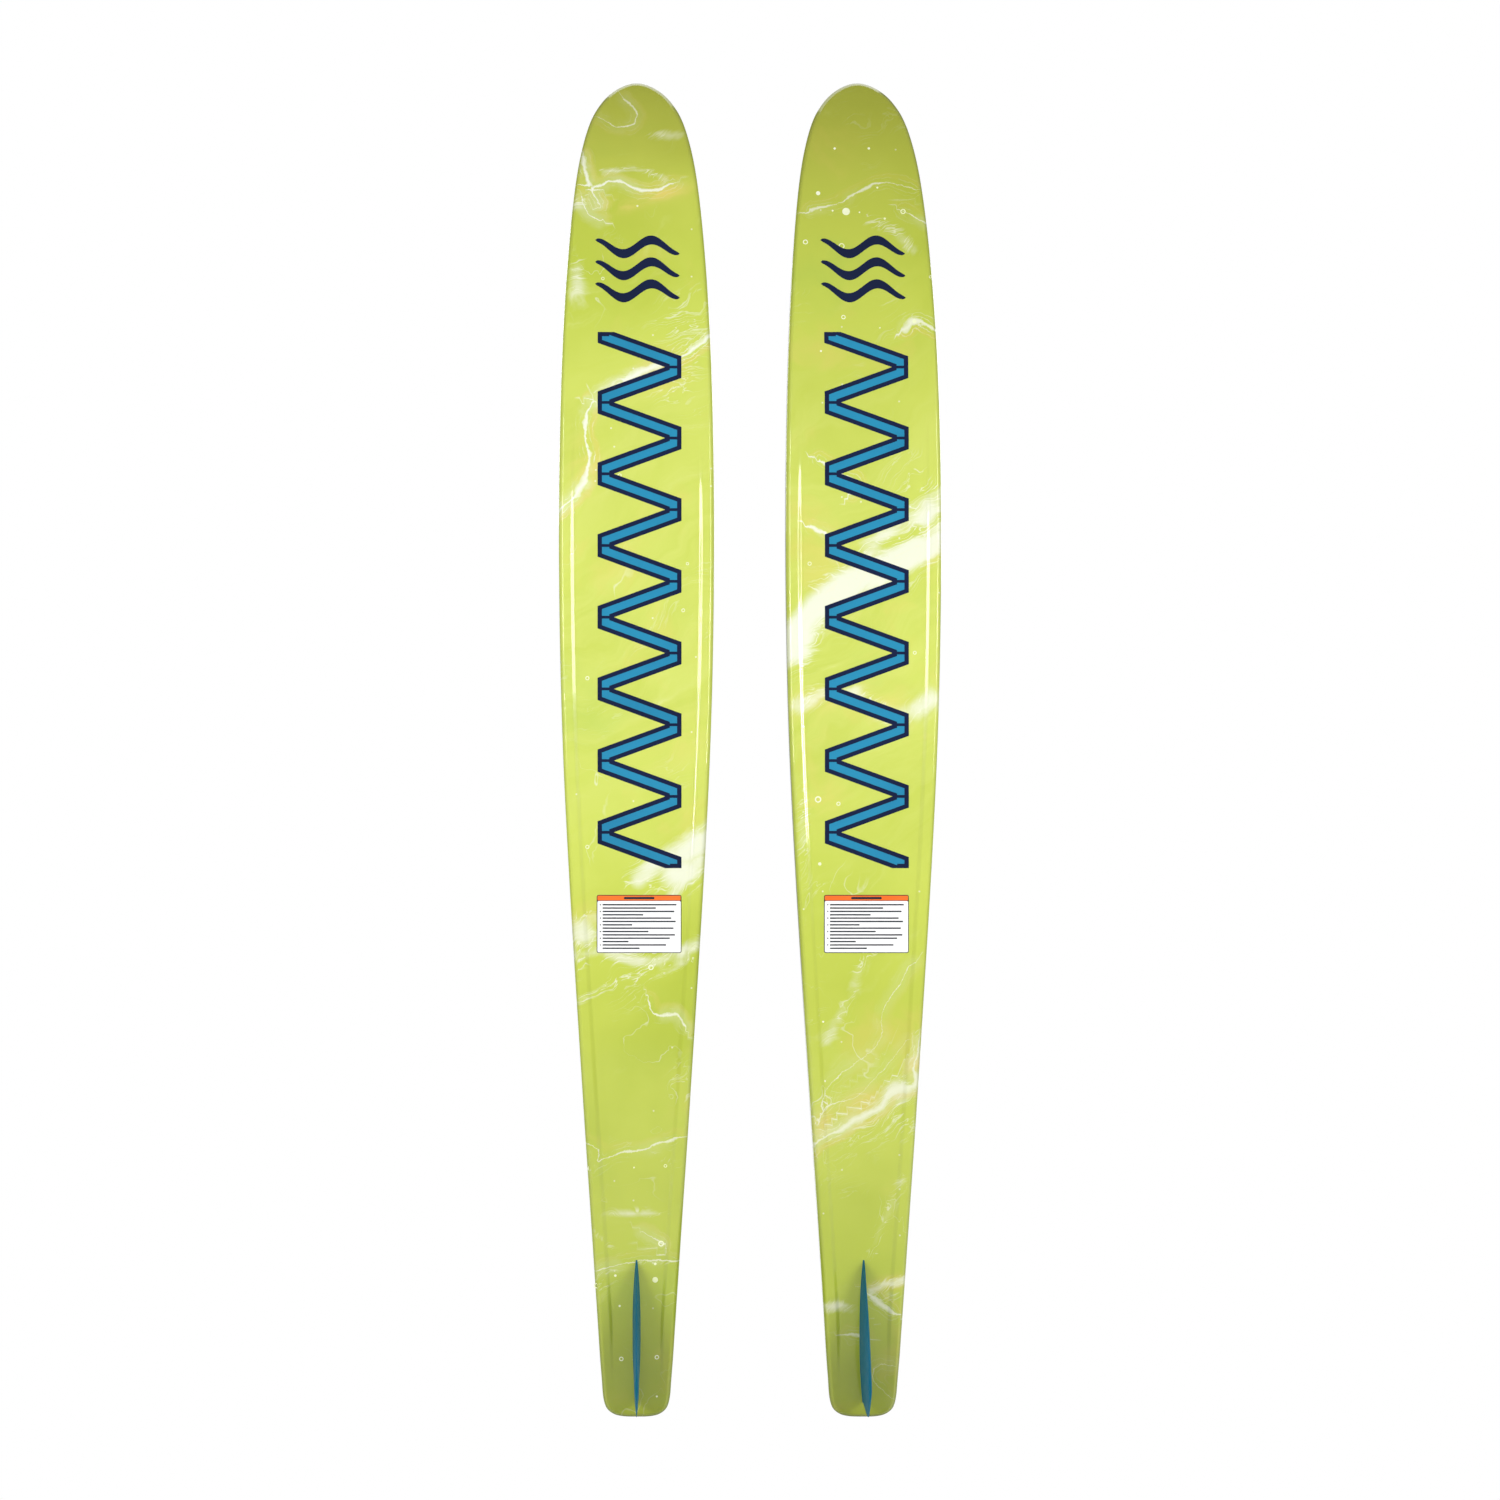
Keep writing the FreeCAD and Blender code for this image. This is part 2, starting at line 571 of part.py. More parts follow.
def build_binding(hand, shift):
    name = hand + "_"

    # plate with two side channels
    body = make_body(name + "binding_plate", shift)
    sketch = make_sketch(body, "XZ_Plane", DECK)
    rectangle(sketch, -q("plate_half"), q("plate_half"), q("plate_back"), q("plate_front"))
    pad(body, sketch, q("plate_thick"))
    round_edges(body, upright, q("plate_corner"))
    for flip in (1, -1):
        sketch = make_sketch(body, "XZ_Plane", PLATE_TOP - 0.4)
        rectangle(sketch, q("channel_in") * flip, q("channel_out") * flip, q("channel_back"), q("channel_front"))
        pad(body, sketch, q("channel_high") + 0.4)
        sketch = make_sketch(body, "XZ_Plane", PLATE_TOP + q("lip_low"))
        rectangle(sketch, q("lip_in") * flip, q("channel_out") * flip, q("channel_back"), q("channel_front"))
        pad(body, sketch, q("channel_high") - q("lip_low"))
    sketch = make_sketch(body, "XZ_Plane", PLATE_TOP + 1)
    for flip in (1, -1):
        for z in (q("plate_screw_back"), q("plate_screw_front")):
            circle(sketch, q("plate_screw_x") * flip, z, q("hole_radius"))
        for x, z in toe_screw_spots()[:3]:
            circle(sketch, q("toe_screw_x") * flip, q("toe_back") + (z - n("toe_back")), q("toe_screw_radius") + 0.05)
    pocket(body, sketch, q("plate_thick") + 2)

    seat = float(PLATE_TOP)
    feature_of(name + "plate_washers", group([cup_washer(x, seat, z, n("washer_radius"), n("screw_radius") + 0.15,
                                                         n("washer_thick")) for x, z in PLATE_SPOTS]), shift)
    feature_of(name + "plate_screws", group([machine_screw(x, seat + n("washer_thick"), z, n("screw_radius"),
                                                           n("ski_thick") - n("insert_depth") + 3, n("head_radius"),
                                                           n("head_height")) for x, z in PLATE_SPOTS]), shift)

    # fore foot pad
    body = make_body(name + "front_footbed", shift)
    sketch = make_sketch(body, "XZ_Plane", PLATE_TOP)
    rectangle(sketch, -q("bed_half"), q("bed_half"), q("bed_back"), q("bed_front"))
    pad(body, sketch, q("bed_thick"))
    round_edges(body, lambda e: upright(e) and e.Vertexes[0].Point.z > n("bed_front") - 1, q("bed_corner"))

    # toe piece and its clamps
    shape = strap_over(n("toe_half"), n("toe_wall"), n("toe_high_back"), n("toe_high_front"), n("toe_back"),
                       n("toe_front"), seat, n("plate_half"), n("toe_flange_thick"), 16)
    for x, z in toe_screw_spots():
        shape = shape.cut(post(x, z, n("toe_screw_radius") + 0.1, seat - 1, seat + 10))
    feature_of(name + "toe_overlay", shape, shift)
    inner_flip = 1 if hand == "right" else -1
    clamp_low = PLATE_TOP + q("toe_flange_thick")
    for node, flip in (("toe_clamp_inner", inner_flip), ("toe_clamp_outer", -inner_flip)):
        body = make_body(name + node, shift)
        sketch = make_sketch(body, "XZ_Plane", clamp_low)
        rectangle(sketch, q("clamp_in") * flip, q("plate_half") * flip, q("toe_back") + 2, q("toe_front") - 2)
        pad(body, sketch, q("clamp_thick"))
        round_edges(body, lambda e: at_height(float(clamp_low + q("clamp_thick")))(e) and
                    abs(e.Vertexes[0].Point.x - e.Vertexes[-1].Point.x) < 0.01, Size(1.2, "1.2"))
        sketch = make_sketch(body, "XZ_Plane", clamp_low + q("clamp_thick") + 1)
        for x, z in toe_screw_spots()[:3]:
            circle(sketch, q("toe_screw_x") * flip, q("toe_back") + (z - n("toe_back")), q("toe_screw_radius") + 0.1)
        pocket(body, sketch, q("clamp_thick") + 2)
    top = float(clamp_low + q("clamp_thick"))
    feature_of(name + "toe_clamp_screws", group([machine_screw(x, top, z, n("toe_screw_radius"), n("ski_thick") + 0.3,
                                                               n("toe_head_radius"), n("toe_head_height"))
                                                 for x, z in toe_screw_spots()]), shift)

    # sliding carriage: plate, groove over the grip strip, cam window and two ears for the lever's pin
    body = make_body(name + "heel_carriage", shift)
    sketch = make_sketch(body, "XZ_Plane", CARRIAGE_LOW)
    rectangle(sketch, -q("carriage_half"), q("carriage_half"), q("carriage_back"), q("carriage_front"))
    pad(body, sketch, q("carriage_thick"))
    round_edges(body, upright, Size(8, "8"))
    for flip in (1, -1):
        sketch = make_sketch(body, "YZ_Plane", q("ear_in") if flip > 0 else -q("ear_out"))
        polygon(sketch, [(CARRIAGE_TOP - 0.5, q("pin_z") - q("ear_half") - 4),
                         (CARRIAGE_TOP + q("ear_high") - 5.5, q("pin_z") - q("ear_half")),
                         (CARRIAGE_TOP + q("ear_high") - 4, q("pin_z") - q("ear_half") + 1.5),
                         (CARRIAGE_TOP + q("ear_high") - 4, q("pin_z") + q("ear_half") - 1.5),
                         (CARRIAGE_TOP + q("ear_high") - 5.5, q("pin_z") + q("ear_half")),
                         (CARRIAGE_TOP - 0.5, q("pin_z") + q("ear_half") + 4)])
        pad(body, sketch, q("ear_out") - q("ear_in"), up=False)
    sketch = make_sketch(body, "XZ_Plane", CARRIAGE_LOW - 1)
    rectangle(sketch, -q("groove_half"), q("groove_half"), q("carriage_back") - 2, q("carriage_front") + 2)
    pocket(body, sketch, q("groove_high") + 1, up=True)
    sketch = make_sketch(body, "XZ_Plane", CARRIAGE_TOP + 1)
    rectangle(sketch, -q("groove_half"), q("groove_half"), q("pin_z") - 9, q("pin_z") + 9)
    pocket(body, sketch, q("carriage_thick") + 2)
    sketch = make_sketch(body, "YZ_Plane", -q("ear_out") - 1)
    circle(sketch, PIN_Y, q("pin_z"), q("pin_radius") + 0.03)
    pocket(body, sketch, q("ear_out") * 2 + 2, up=True)
    sketch = make_sketch(body, "XZ_Plane", CARRIAGE_TOP + 1)
    for x, z in heel_screw_spots():
        circle(sketch, Size(x, repr(x)), Size(z, repr(z)), q("toe_screw_radius") + 0.05)
    pocket(body, sketch, q("carriage_thick") + 2)

    # grip strip: ribbed on top
    body = make_body(name + "grip_strip", shift)
    sketch = make_sketch(body, "XZ_Plane", PLATE_TOP)
    rectangle(sketch, -q("strip_half"), q("strip_half"), q("strip_back"), q("strip_front"))
    pad(body, sketch, q("strip_thick"))
    sketch = make_sketch(body, "XZ_Plane", PLATE_TOP + q("strip_thick") + 1)
    for i in range(10):
        z = q("strip_back") + 3 + q("strip_pitch") * i
        rectangle(sketch, -q("strip_half") - 1, q("strip_half") + 1, z, z + 2)
    pocket(body, sketch, Size(1.6, "1.6"))

    pin = doc.addObject("Part::Cylinder", name + "lock_pin_rod")
    pin.setExpression("Radius", text_of(q("pin_radius")))
    pin.setExpression("Height", text_of(q("pin_half") * 2))
    pin.Placement = FreeCAD.Placement(V(shift - n("pin_half"), float(PIN_Y) + n("base_level"), n("pin_z")),
                                      FreeCAD.Rotation(V(0, 1, 0), 90))
    keep(name + "lock_pin", pin)

    # cam lever: a round cam on the pin with a flat arm that lies back over the carriage
    body = make_body(name + "lock_lever", shift)
    sketch = make_sketch(body, "YZ_Plane", -q("lever_half"))
    circle(sketch, PIN_Y, q("pin_z"), q("cam_radius"))
    pad(body, sketch, q("lever_half") * 2, up=False)
    sketch = make_sketch(body, "YZ_Plane", -q("lever_half"))
    polygon(sketch, [(PIN_Y + 0.2, q("pin_z")), (PIN_Y + 0.8, q("pin_z") - 8),
                     (PIN_Y + 0.8, q("pin_z") - q("lever_reach") + 6), (PIN_Y + 3.4, q("pin_z") - q("lever_reach")),
                     (PIN_Y + 6.4, q("pin_z") - q("lever_reach")), (PIN_Y + 4.2, q("pin_z") - q("lever_reach") + 7),
                     (PIN_Y + 4.2, q("pin_z") - 6), (PIN_Y + 4.1, q("pin_z"))])
    pad(body, sketch, q("lever_half") * 2, up=False)
    sketch = make_sketch(body, "YZ_Plane", -q("lever_half") - 1)
    circle(sketch, PIN_Y, q("pin_z"), q("pin_radius") + q("pin_play"))
    pocket(body, sketch, q("lever_half") * 2 + 2, up=True)

    # heel piece, its clamp rail, pad and pull tab
    cup = heel_cup_shape()
    for x, z in heel_screw_spots():
        cup = cup.cut(post(x, z, n("toe_screw_radius") + 0.1, float(CARRIAGE_TOP) - 1, float(CARRIAGE_TOP) + 10))
    feature_of(name + "heel_cup", cup, shift)
    low, high = float(FLANGE_TOP), float(RAIL_TOP)
    rail = horseshoe(n("cup_half") + n("cup_wall") + n("flange_out"), n("cup_back") - n("flange_out"),
                     n("cup_front") - 1, low, high)
    rail = rail.cut(horseshoe(n("cup_half") + n("cup_wall") + 0.2, n("cup_back") - 0.2, n("cup_front") + 5,
                              low - 1, high + 1))
    for x, z in heel_screw_spots():
        rail = rail.cut(post(x, z, n("toe_screw_radius") + 0.1, low - 1, high + 1))
    feature_of(name + "heel_clamp", rail, shift)
    feature_of(name + "heel_clamp_screws", group([machine_screw(x, high, z, n("toe_screw_radius"),
                                                                heel_screw_point(x), n("toe_head_radius") - 0.2,
                                                                n("toe_head_height")) for x, z in heel_screw_spots()]),
               shift)
    gap = n("heel_pad_gap")
    heel_pad = horseshoe(n("cup_half") - gap, n("cup_back") + n("cup_wall") + gap, n("cup_front"),
                         float(CARRIAGE_TOP), float(CARRIAGE_TOP) + n("heel_pad_thick"))
    feature_of(name + "heel_pad", heel_pad, shift)
    low = float(CARRIAGE_TOP)
    tab = Part.makeBox(2 * n("tab_half"), n("tab_high") - n("tab_low"), n("tab_thick") + 4,
                       V(-n("tab_half"), low + n("tab_low"), n("cup_back") - n("tab_thick")))
    tab = tab.cut(horseshoe(n("cup_half") + n("cup_wall") + 0.05, n("cup_back") - 0.05, n("cup_front"), low, low + 93))
    tab = tab.cut(Part.makeBox(40, 40, 20, V(-20, low + 92.9, n("cup_back") + 1.2)))
    feature_of(name + "heel_pull_tab", tab, shift)


def build_rear_toe(name, shift):
    """The rear toe piece of the one ski that carries it."""
    body = make_body(name + "rear_plate", shift)
    sketch = make_sketch(body, "XZ_Plane", DECK)
    rectangle(sketch, -q("rear_half"), q("rear_half"), q("rear_back"), q("rear_front"))
    pad(body, sketch, q("plate_thick"))
    round_edges(body, upright, q("plate_corner"))
    sketch = make_sketch(body, "XZ_Plane", PLATE_TOP + 1)
    for flip in (1, -1):
        for z in (q("rear_screw_a"), q("rear_screw_b")):
            circle(sketch, q("rear_screw_x") * flip, z, q("hole_radius"))
        for x, z in loop_screw_spots()[:2]:
            circle(sketch, Size(flip * x, repr(flip * x)), Size(z, repr(z)), q("toe_screw_radius") + 0.05)
    pocket(body, sketch, q("plate_thick") + 2)

    body = make_body(name + "rear_pad", shift)
    sketch = make_sketch(body, "XZ_Plane", PLATE_TOP)
    rectangle(sketch, -q("rear_pad_half"), q("rear_pad_half"), q("rear_pad_back"), q("rear_pad_front"))
    pad(body, sketch, q("rear_pad_thick"))
    round_edges(body, upright, Size(12, "12"))

    seat = float(PLATE_TOP)
    shape = strap_over(n("loop_half"), n("loop_wall"), n("loop_high_back"), n("loop_high_front"), n("loop_back"),
                       n("loop_front"), seat, n("rear_half"), n("toe_flange_thick"), 12)
    for x, z in loop_screw_spots():
        shape = shape.cut(post(x, z, n("toe_screw_radius") + 0.1, seat - 1, seat + 10))
    feature_of(name + "rear_overlay", shape, shift)
    low = seat + n("toe_flange_thick")
    top = low + n("clamp_thick")
    clamps = []
    for flip in (1, -1):
        bar = Part.makeBox(n("rear_half") - n("loop_clamp_in"), n("clamp_thick"), n("loop_front") - n("loop_back") - 4,
                           V(n("loop_clamp_in") if flip > 0 else -n("rear_half"), low, n("loop_back") + 2))
        bar = bar.makeFillet(1.1, [e for e in bar.Edges if e.BoundBox.YMin > top - 0.01 and e.BoundBox.XLength < 0.01])
        for x, z in loop_screw_spots():
            bar = bar.cut(post(x, z, n("toe_screw_radius") + 0.1, low - 1, top + 1))
        clamps.append(bar)
    feature_of(name + "rear_clamps", group(clamps), shift)
    feature_of(name + "rear_clamp_screws", group([machine_screw(x, top, z, n("toe_screw_radius"), n("ski_thick") + 0.3,
                                                                n("toe_head_radius") - 0.2, n("toe_head_height"))
                                                  for x, z in loop_screw_spots()]), shift)
    feature_of(name + "rear_plate_screws", group([machine_screw(x, seat, z, n("screw_radius"),
                                                                n("ski_thick") - n("insert_depth") + 3,
                                                                n("head_radius"), n("head_height"))
                                                  for x, z in REAR_SPOTS]), shift)


for hand, sign in (("right", -1.0), ("left", 1.0)):
    build_ski(hand, sign * n("ski_spacing") / 2.0)
    build_binding(hand, sign * n("ski_spacing") / 2.0)
build_rear_toe("left_", n("ski_spacing") / 2.0)
doc.recompute()

for obj in doc.Objects:
    if "Invalid" in obj.State or "Error" in obj.State:
        raise RuntimeError("%s did not recompute: %s" % (obj.Name, obj.State))
os.makedirs("parts", exist_ok=True)
for node, obj in sorted(nodes.items()):
    if obj.Shape.isNull() or not obj.Shape.isValid() or not obj.Shape.Solids:
        raise RuntimeError("%s has no valid solid" % node)
for node, obj in sorted(nodes.items()):
    obj.Shape.exportStep("parts/%s.step" % node)
    box = obj.Shape.BoundBox
    print("%-24s %9.0f mm3  x %7.1f %7.1f  y %6.1f %6.1f  z %7.1f %7.1f" % (
        node, obj.Shape.Volume, box.XMin, box.XMax, box.YMin, box.YMax, box.ZMin, box.ZMax))
print(len(nodes), "parts")
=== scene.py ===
import math
import bmesh
import bpy
import numpy as np
import mathutils.kdtree
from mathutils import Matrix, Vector


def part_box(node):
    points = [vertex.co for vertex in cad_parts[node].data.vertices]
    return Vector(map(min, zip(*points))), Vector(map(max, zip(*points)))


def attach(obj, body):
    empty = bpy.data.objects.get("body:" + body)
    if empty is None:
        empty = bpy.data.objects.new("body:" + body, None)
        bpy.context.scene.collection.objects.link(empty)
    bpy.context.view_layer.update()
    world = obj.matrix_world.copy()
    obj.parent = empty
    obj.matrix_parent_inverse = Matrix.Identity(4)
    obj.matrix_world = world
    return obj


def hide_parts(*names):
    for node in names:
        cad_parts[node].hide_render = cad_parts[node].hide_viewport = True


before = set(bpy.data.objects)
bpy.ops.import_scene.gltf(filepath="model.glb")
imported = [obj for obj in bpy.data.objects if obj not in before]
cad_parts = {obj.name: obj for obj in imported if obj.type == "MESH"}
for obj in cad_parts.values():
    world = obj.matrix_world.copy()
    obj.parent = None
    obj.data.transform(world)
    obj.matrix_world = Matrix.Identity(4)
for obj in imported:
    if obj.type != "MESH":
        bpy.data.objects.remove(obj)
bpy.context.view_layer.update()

MM = 0.001
scene = bpy.context.scene
scene.view_settings.view_transform = "Standard"


def centre_x(node):
    lo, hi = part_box(node)
    return (lo.x + hi.x) / 2


CX = {"right": centre_x("right_ski_base_shell"), "left": centre_x("left_ski_base_shell")}
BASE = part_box("right_ski_base_shell")[0].y / MM  # the height of the flat base along Y, in millimetres

# ------------------------------------------------------------------ camera, lights, floor

cam_data = bpy.data.cameras.new("camera")
cam = bpy.data.objects.new("camera", cam_data)
scene.collection.objects.link(cam)
scene.camera = cam
cam.location = (CX["right"] + 0.002, BASE * MM - 2.1, 0.7903)
cam.rotation_euler = (math.pi / 2, 0, 0)
cam_data.sensor_width = 36
cam_data.lens = 42.8
cam_data.shift_x = 0.0745
cam_data.clip_end = 60


def area(name, place, target, size, power, colour=(1, 1, 1), spread=180):
    data = bpy.data.lights.new(name, "AREA")
    data.shape = "RECTANGLE"
    data.size, data.size_y = size
    data.energy = power
    data.color = colour
    data.spread = math.radians(spread)
    lamp = bpy.data.objects.new(name, data)
    scene.collection.objects.link(lamp)
    lamp.location = place
    lamp.rotation_euler = (Vector(target) - Vector(place)).to_track_quat("-Z", "Y").to_euler()
    return lamp


area("key_left", (-1.8, -1.8, 1.42), (0, 0, 0.78), (0.75, 0.85), 22.3)
area("key_right", (1.8, -1.8, 1.42), (0, 0, 0.78), (0.75, 0.85), 22.3)
area("side_left", (-1.9, -1.15, 0.92), (0, 0, 0.92), (0.16, 0.5), 10)
area("side_right", (1.9, -1.15, 0.92), (0, 0, 0.92), (0.16, 0.5), 10)
area("back_left", (-1.8, 2.2, 1.9), (0, 0, 0.8), (1.3, 1.0), 34)
area("back_right", (1.8, 2.0, 1.7), (0, 0, 0.8), (1.3, 1.0), 26)
front = area("front_fill", (-0.1, -2.6, 0.45), (0, 0, 0.3), (1.4, 1.0), 4)
front.visible_glossy = False
area("top", (0, 0.4, 3.2), (0, 0, 0.6), (1.8, 1.8), 16)


def white_for_camera(tree, behind, before):
    """Mix two shaders: what the camera meets is plain white, and what lights the object is dimmer."""
    path = tree.nodes.new("ShaderNodeLightPath")
    mixed = tree.nodes.new("ShaderNodeMixShader")
    tree.links.new(path.outputs["Is Camera Ray"], mixed.inputs[0])
    tree.links.new(behind.outputs[0], mixed.inputs[1])
    tree.links.new(before.outputs[0], mixed.inputs[2])
    return mixed


world = bpy.data.worlds.new("studio")
scene.world = world
world.use_nodes = True
wt = world.node_tree
dim = wt.nodes["Background"]
dim.inputs[0].default_value = (1, 1, 1, 1)
dim.inputs[1].default_value = 0.34
white = wt.nodes.new("ShaderNodeBackground")
white.inputs[0].default_value = (1, 1, 1, 1)
white.inputs[1].default_value = 1.0
wt.links.new(white_for_camera(wt, dim, white).outputs[0], wt.nodes["World Output"].inputs[0])
dim.inputs[1].default_value = 0.30


# ------------------------------------------------------------------ node helpers

def lin(r, g, b):
    def one(c):
        c /= 255.0
        return c / 12.92 if c <= 0.04045 else ((c + 0.055) / 1.055) ** 2.4
    return (one(r), one(g), one(b), 1.0)


class Tree:
    """A material and short calls for its nodes."""

    def __init__(self, name):
        self.material = bpy.data.materials.new(name)
        self.material.use_nodes = True
        self.tree = self.material.node_tree
        self.tree.nodes.clear()
        self.out = self.node("ShaderNodeOutputMaterial")
        self.bsdf = self.node("ShaderNodeBsdfPrincipled")
        self.tree.links.new(self.bsdf.outputs[0], self.out.inputs[0])

    def node(self, kind, **props):
        made = self.tree.nodes.new(kind)
        for key, value in props.items():
            setattr(made, key, value)
        return made

    def put(self, socket, value):
        if isinstance(value, bpy.types.NodeSocket):
            self.tree.links.new(value, socket)
        elif value is not None:
            socket.default_value = value

    def math(self, operation, a, b=None, c=None, clamp=False):
        made = self.node("ShaderNodeMath", operation=operation, use_clamp=clamp)
        for socket, value in zip(made.inputs, (a, b, c)):
            self.put(socket, value)
        return made.outputs[0]

    def vec(self, operation, a, b=None, scale=None):
        made = self.node("ShaderNodeVectorMath", operation=operation)
        self.put(made.inputs[0], a)
        self.put(made.inputs[1], b)
        if scale is not None:
            self.put(made.inputs["Scale"], scale)
        return made.outputs["Vector"]

    def mix(self, factor, a, b):
        made = self.node("ShaderNodeMix", data_type="RGBA")
        self.put(made.inputs["Factor"], factor)
        self.put(made.inputs["A"], a)
        self.put(made.inputs["B"], b)
        return made.outputs["Result"]

    def step(self, value, low, high, smooth=True):
        """0 below low and 1 above high; the other way round if high is the lower."""
        made = self.node("ShaderNodeMapRange", interpolation_type="SMOOTHSTEP" if smooth else "LINEAR", clamp=True)
        a, b, x, y = (low, high, 0.0, 1.0) if high > low else (high, low, 1.0, 0.0)
        for name, v in (("Value", value), ("From Min", a), ("From Max", b), ("To Min", x), ("To Max", y)):
            self.put(made.inputs[name], v)
        return made.outputs["Result"]

    def noise(self, vector, scale, detail=3.0, rough=0.5, distort=0.0, colour=False):
        made = self.node("ShaderNodeTexNoise")
        for name, v in (("Vector", vector), ("Scale", scale), ("Detail", detail), ("Roughness", rough),
                        ("Distortion", distort)):
            self.put(made.inputs[name], v)
        return made.outputs["Color" if colour else "Fac"]

    def place(self):
        return self.node("ShaderNodeTexCoord").outputs["Object"]

    def attribute(self, name):
        return self.node("ShaderNodeAttribute", attribute_name=name).outputs["Fac"]

    def bump(self, height, strength, distance, chain=None):
        made = self.node("ShaderNodeBump")
        self.put(made.inputs["Strength"], strength)
        self.put(made.inputs["Distance"], distance)
        self.put(made.inputs["Height"], height)
        if chain is not None:
            self.put(made.inputs["Normal"], chain)
        self.put(self.bsdf.inputs["Normal"], made.outputs[0])
        return made.outputs[0]

    def finish(self, colour, rough, **more):
        self.put(self.bsdf.inputs["Base Color"], colour)
        self.put(self.bsdf.inputs["Roughness"], rough)
        for key, value in more.items():
            self.put(self.bsdf.inputs[key.replace("_", " ")], value)
        return self.material


LIME = lin(196, 211, 62)


def lime_marble(name, seed, falloff_levels):
    """Glossy moulded lime with milky streaked clouds, fine swirls, warm tints and small specks, with painted shade
    towards the tip, the tail and the rim, and a painted reflection over the middle.
    """
    t = Tree(name)
    p = t.vec("ADD", t.place(), (seed, seed * 0.37, -seed * 0.61))
    parts = t.node("ShaderNodeSeparateXYZ")
    t.put(parts.inputs[0], p)
    warp = t.vec("SCALE", t.vec("SUBTRACT", t.noise(p, 5.0, 3, 0.55, 0, True), (0.5, 0.5, 0.5)), None, 0.15)
    fine_warp = t.vec("SCALE", t.vec("SUBTRACT", t.noise(p, 24, 3, 0.5, 0, True), (0.5, 0.5, 0.5)), None, 0.03)
    q = t.vec("ADD", t.vec("ADD", p, warp), fine_warp)
    # a frame turned to the way the pattern was poured, long along the flow and tight across it
    turned = t.node("ShaderNodeSeparateXYZ")
    t.put(turned.inputs[0], q)
    c, s = math.cos(math.radians(33)), math.sin(math.radians(33))
    along = t.math("ADD", t.math("MULTIPLY", turned.outputs[0], c), t.math("MULTIPLY", turned.outputs[2], s))
    over = t.math("SUBTRACT", t.math("MULTIPLY", turned.outputs[2], c), t.math("MULTIPLY", turned.outputs[0], s))
    flow = t.node("ShaderNodeCombineXYZ")
    t.put(flow.inputs[0], t.math("MULTIPLY", along, 6.0))
    t.put(flow.inputs[1], t.math("MULTIPLY", over, 34.0))
    streak = t.noise(flow.outputs[0], 1.0, 5, 0.6, 0.5)
    fibre_at = t.node("ShaderNodeCombineXYZ")
    t.put(fibre_at.inputs[0], t.math("MULTIPLY", along, 14.0))
    t.put(fibre_at.inputs[1], t.math("MULTIPLY", over, 95.0))
    fibre = t.noise(fibre_at.outputs[0], 1.0, 3, 0.55, 0.9)
    fibres = t.step(t.math("ABSOLUTE", t.math("SUBTRACT", fibre, 0.5)), 0.022, 0.004)
    # ground colour
    tone = t.noise(q, 3.0, 4, 0.55)
    colour = t.mix(t.step(tone, 0.36, 0.62), lin(190, 205, 74), lin(205, 218, 92))
    # painted shade: duller, more golden lime over the tip, which turns away from the lamps
    height = t.step(parts.outputs[2], 1.33 - seed * 0.61, 1.6 - seed * 0.61)
    colour = t.mix(t.math("MULTIPLY", height, 0.6), colour, lin(190, 192, 84))
    # painted reflection: paler, whiter lime in streaks over the middle of the ski, where the lamps reflect most
    middle = t.math("MULTIPLY", t.step(parts.outputs[2], 0.5 - seed * 0.61, 0.85 - seed * 0.61),
                    t.step(parts.outputs[2], 1.38 - seed * 0.61, 1.12 - seed * 0.61))
    colour = t.mix(t.math("MULTIPLY", middle, t.math("ADD", 0.35, t.math("MULTIPLY", t.step(streak, 0.3, 0.7), 0.4))), colour,
                   lin(215, 225, 118))
    green = t.step(t.noise(t.vec("ADD", q, (-2.1, 0.7, 5.4)), 4.0, 4, 0.6), 0.55, 0.76)
    colour = t.mix(t.math("MULTIPLY", green, 0.4), colour, lin(176, 206, 92))
    warm = t.step(t.noise(t.vec("ADD", q, (3.1, 1.7, 0.4)), 7.0, 4, 0.6), 0.56, 0.74)
    warm = t.math("MAXIMUM", t.math("MULTIPLY", warm, 0.35),
                  t.math("MULTIPLY", t.attribute("glow"), t.step(streak, 0.3, 0.62)))
    colour = t.mix(warm, colour, lin(232, 212, 118))
    # milky clouds, free and placed
    cloud = t.noise(t.vec("ADD", q, (0.4, 9.2, 1.3)), 9.0, 7, 0.62, 0.6)
    mixed = t.math("ADD", t.math("MULTIPLY", cloud, 0.45), t.math("MULTIPLY", streak, 0.55))
    cloud_free = t.math("MULTIPLY", t.step(mixed, 0.56, 0.74), 0.5)
    veil = t.attribute("veil")
    swing = t.math("MULTIPLY", t.math("SUBTRACT", mixed, 0.5), 2.4)
    cloud_placed = t.step(t.math("ADD", veil, swing), 0.30, 1.02)
    colour = t.mix(cloud_free, colour, lin(222, 230, 142))
    colour = t.mix(t.math("MULTIPLY", cloud_placed, 0.95), colour, lin(240, 243, 226))
    near = t.step(veil, 0.10, 0.5)
    colour = t.mix(t.math("MULTIPLY", t.math("MULTIPLY", fibres, near), 0.8), colour, lin(240, 243, 218))
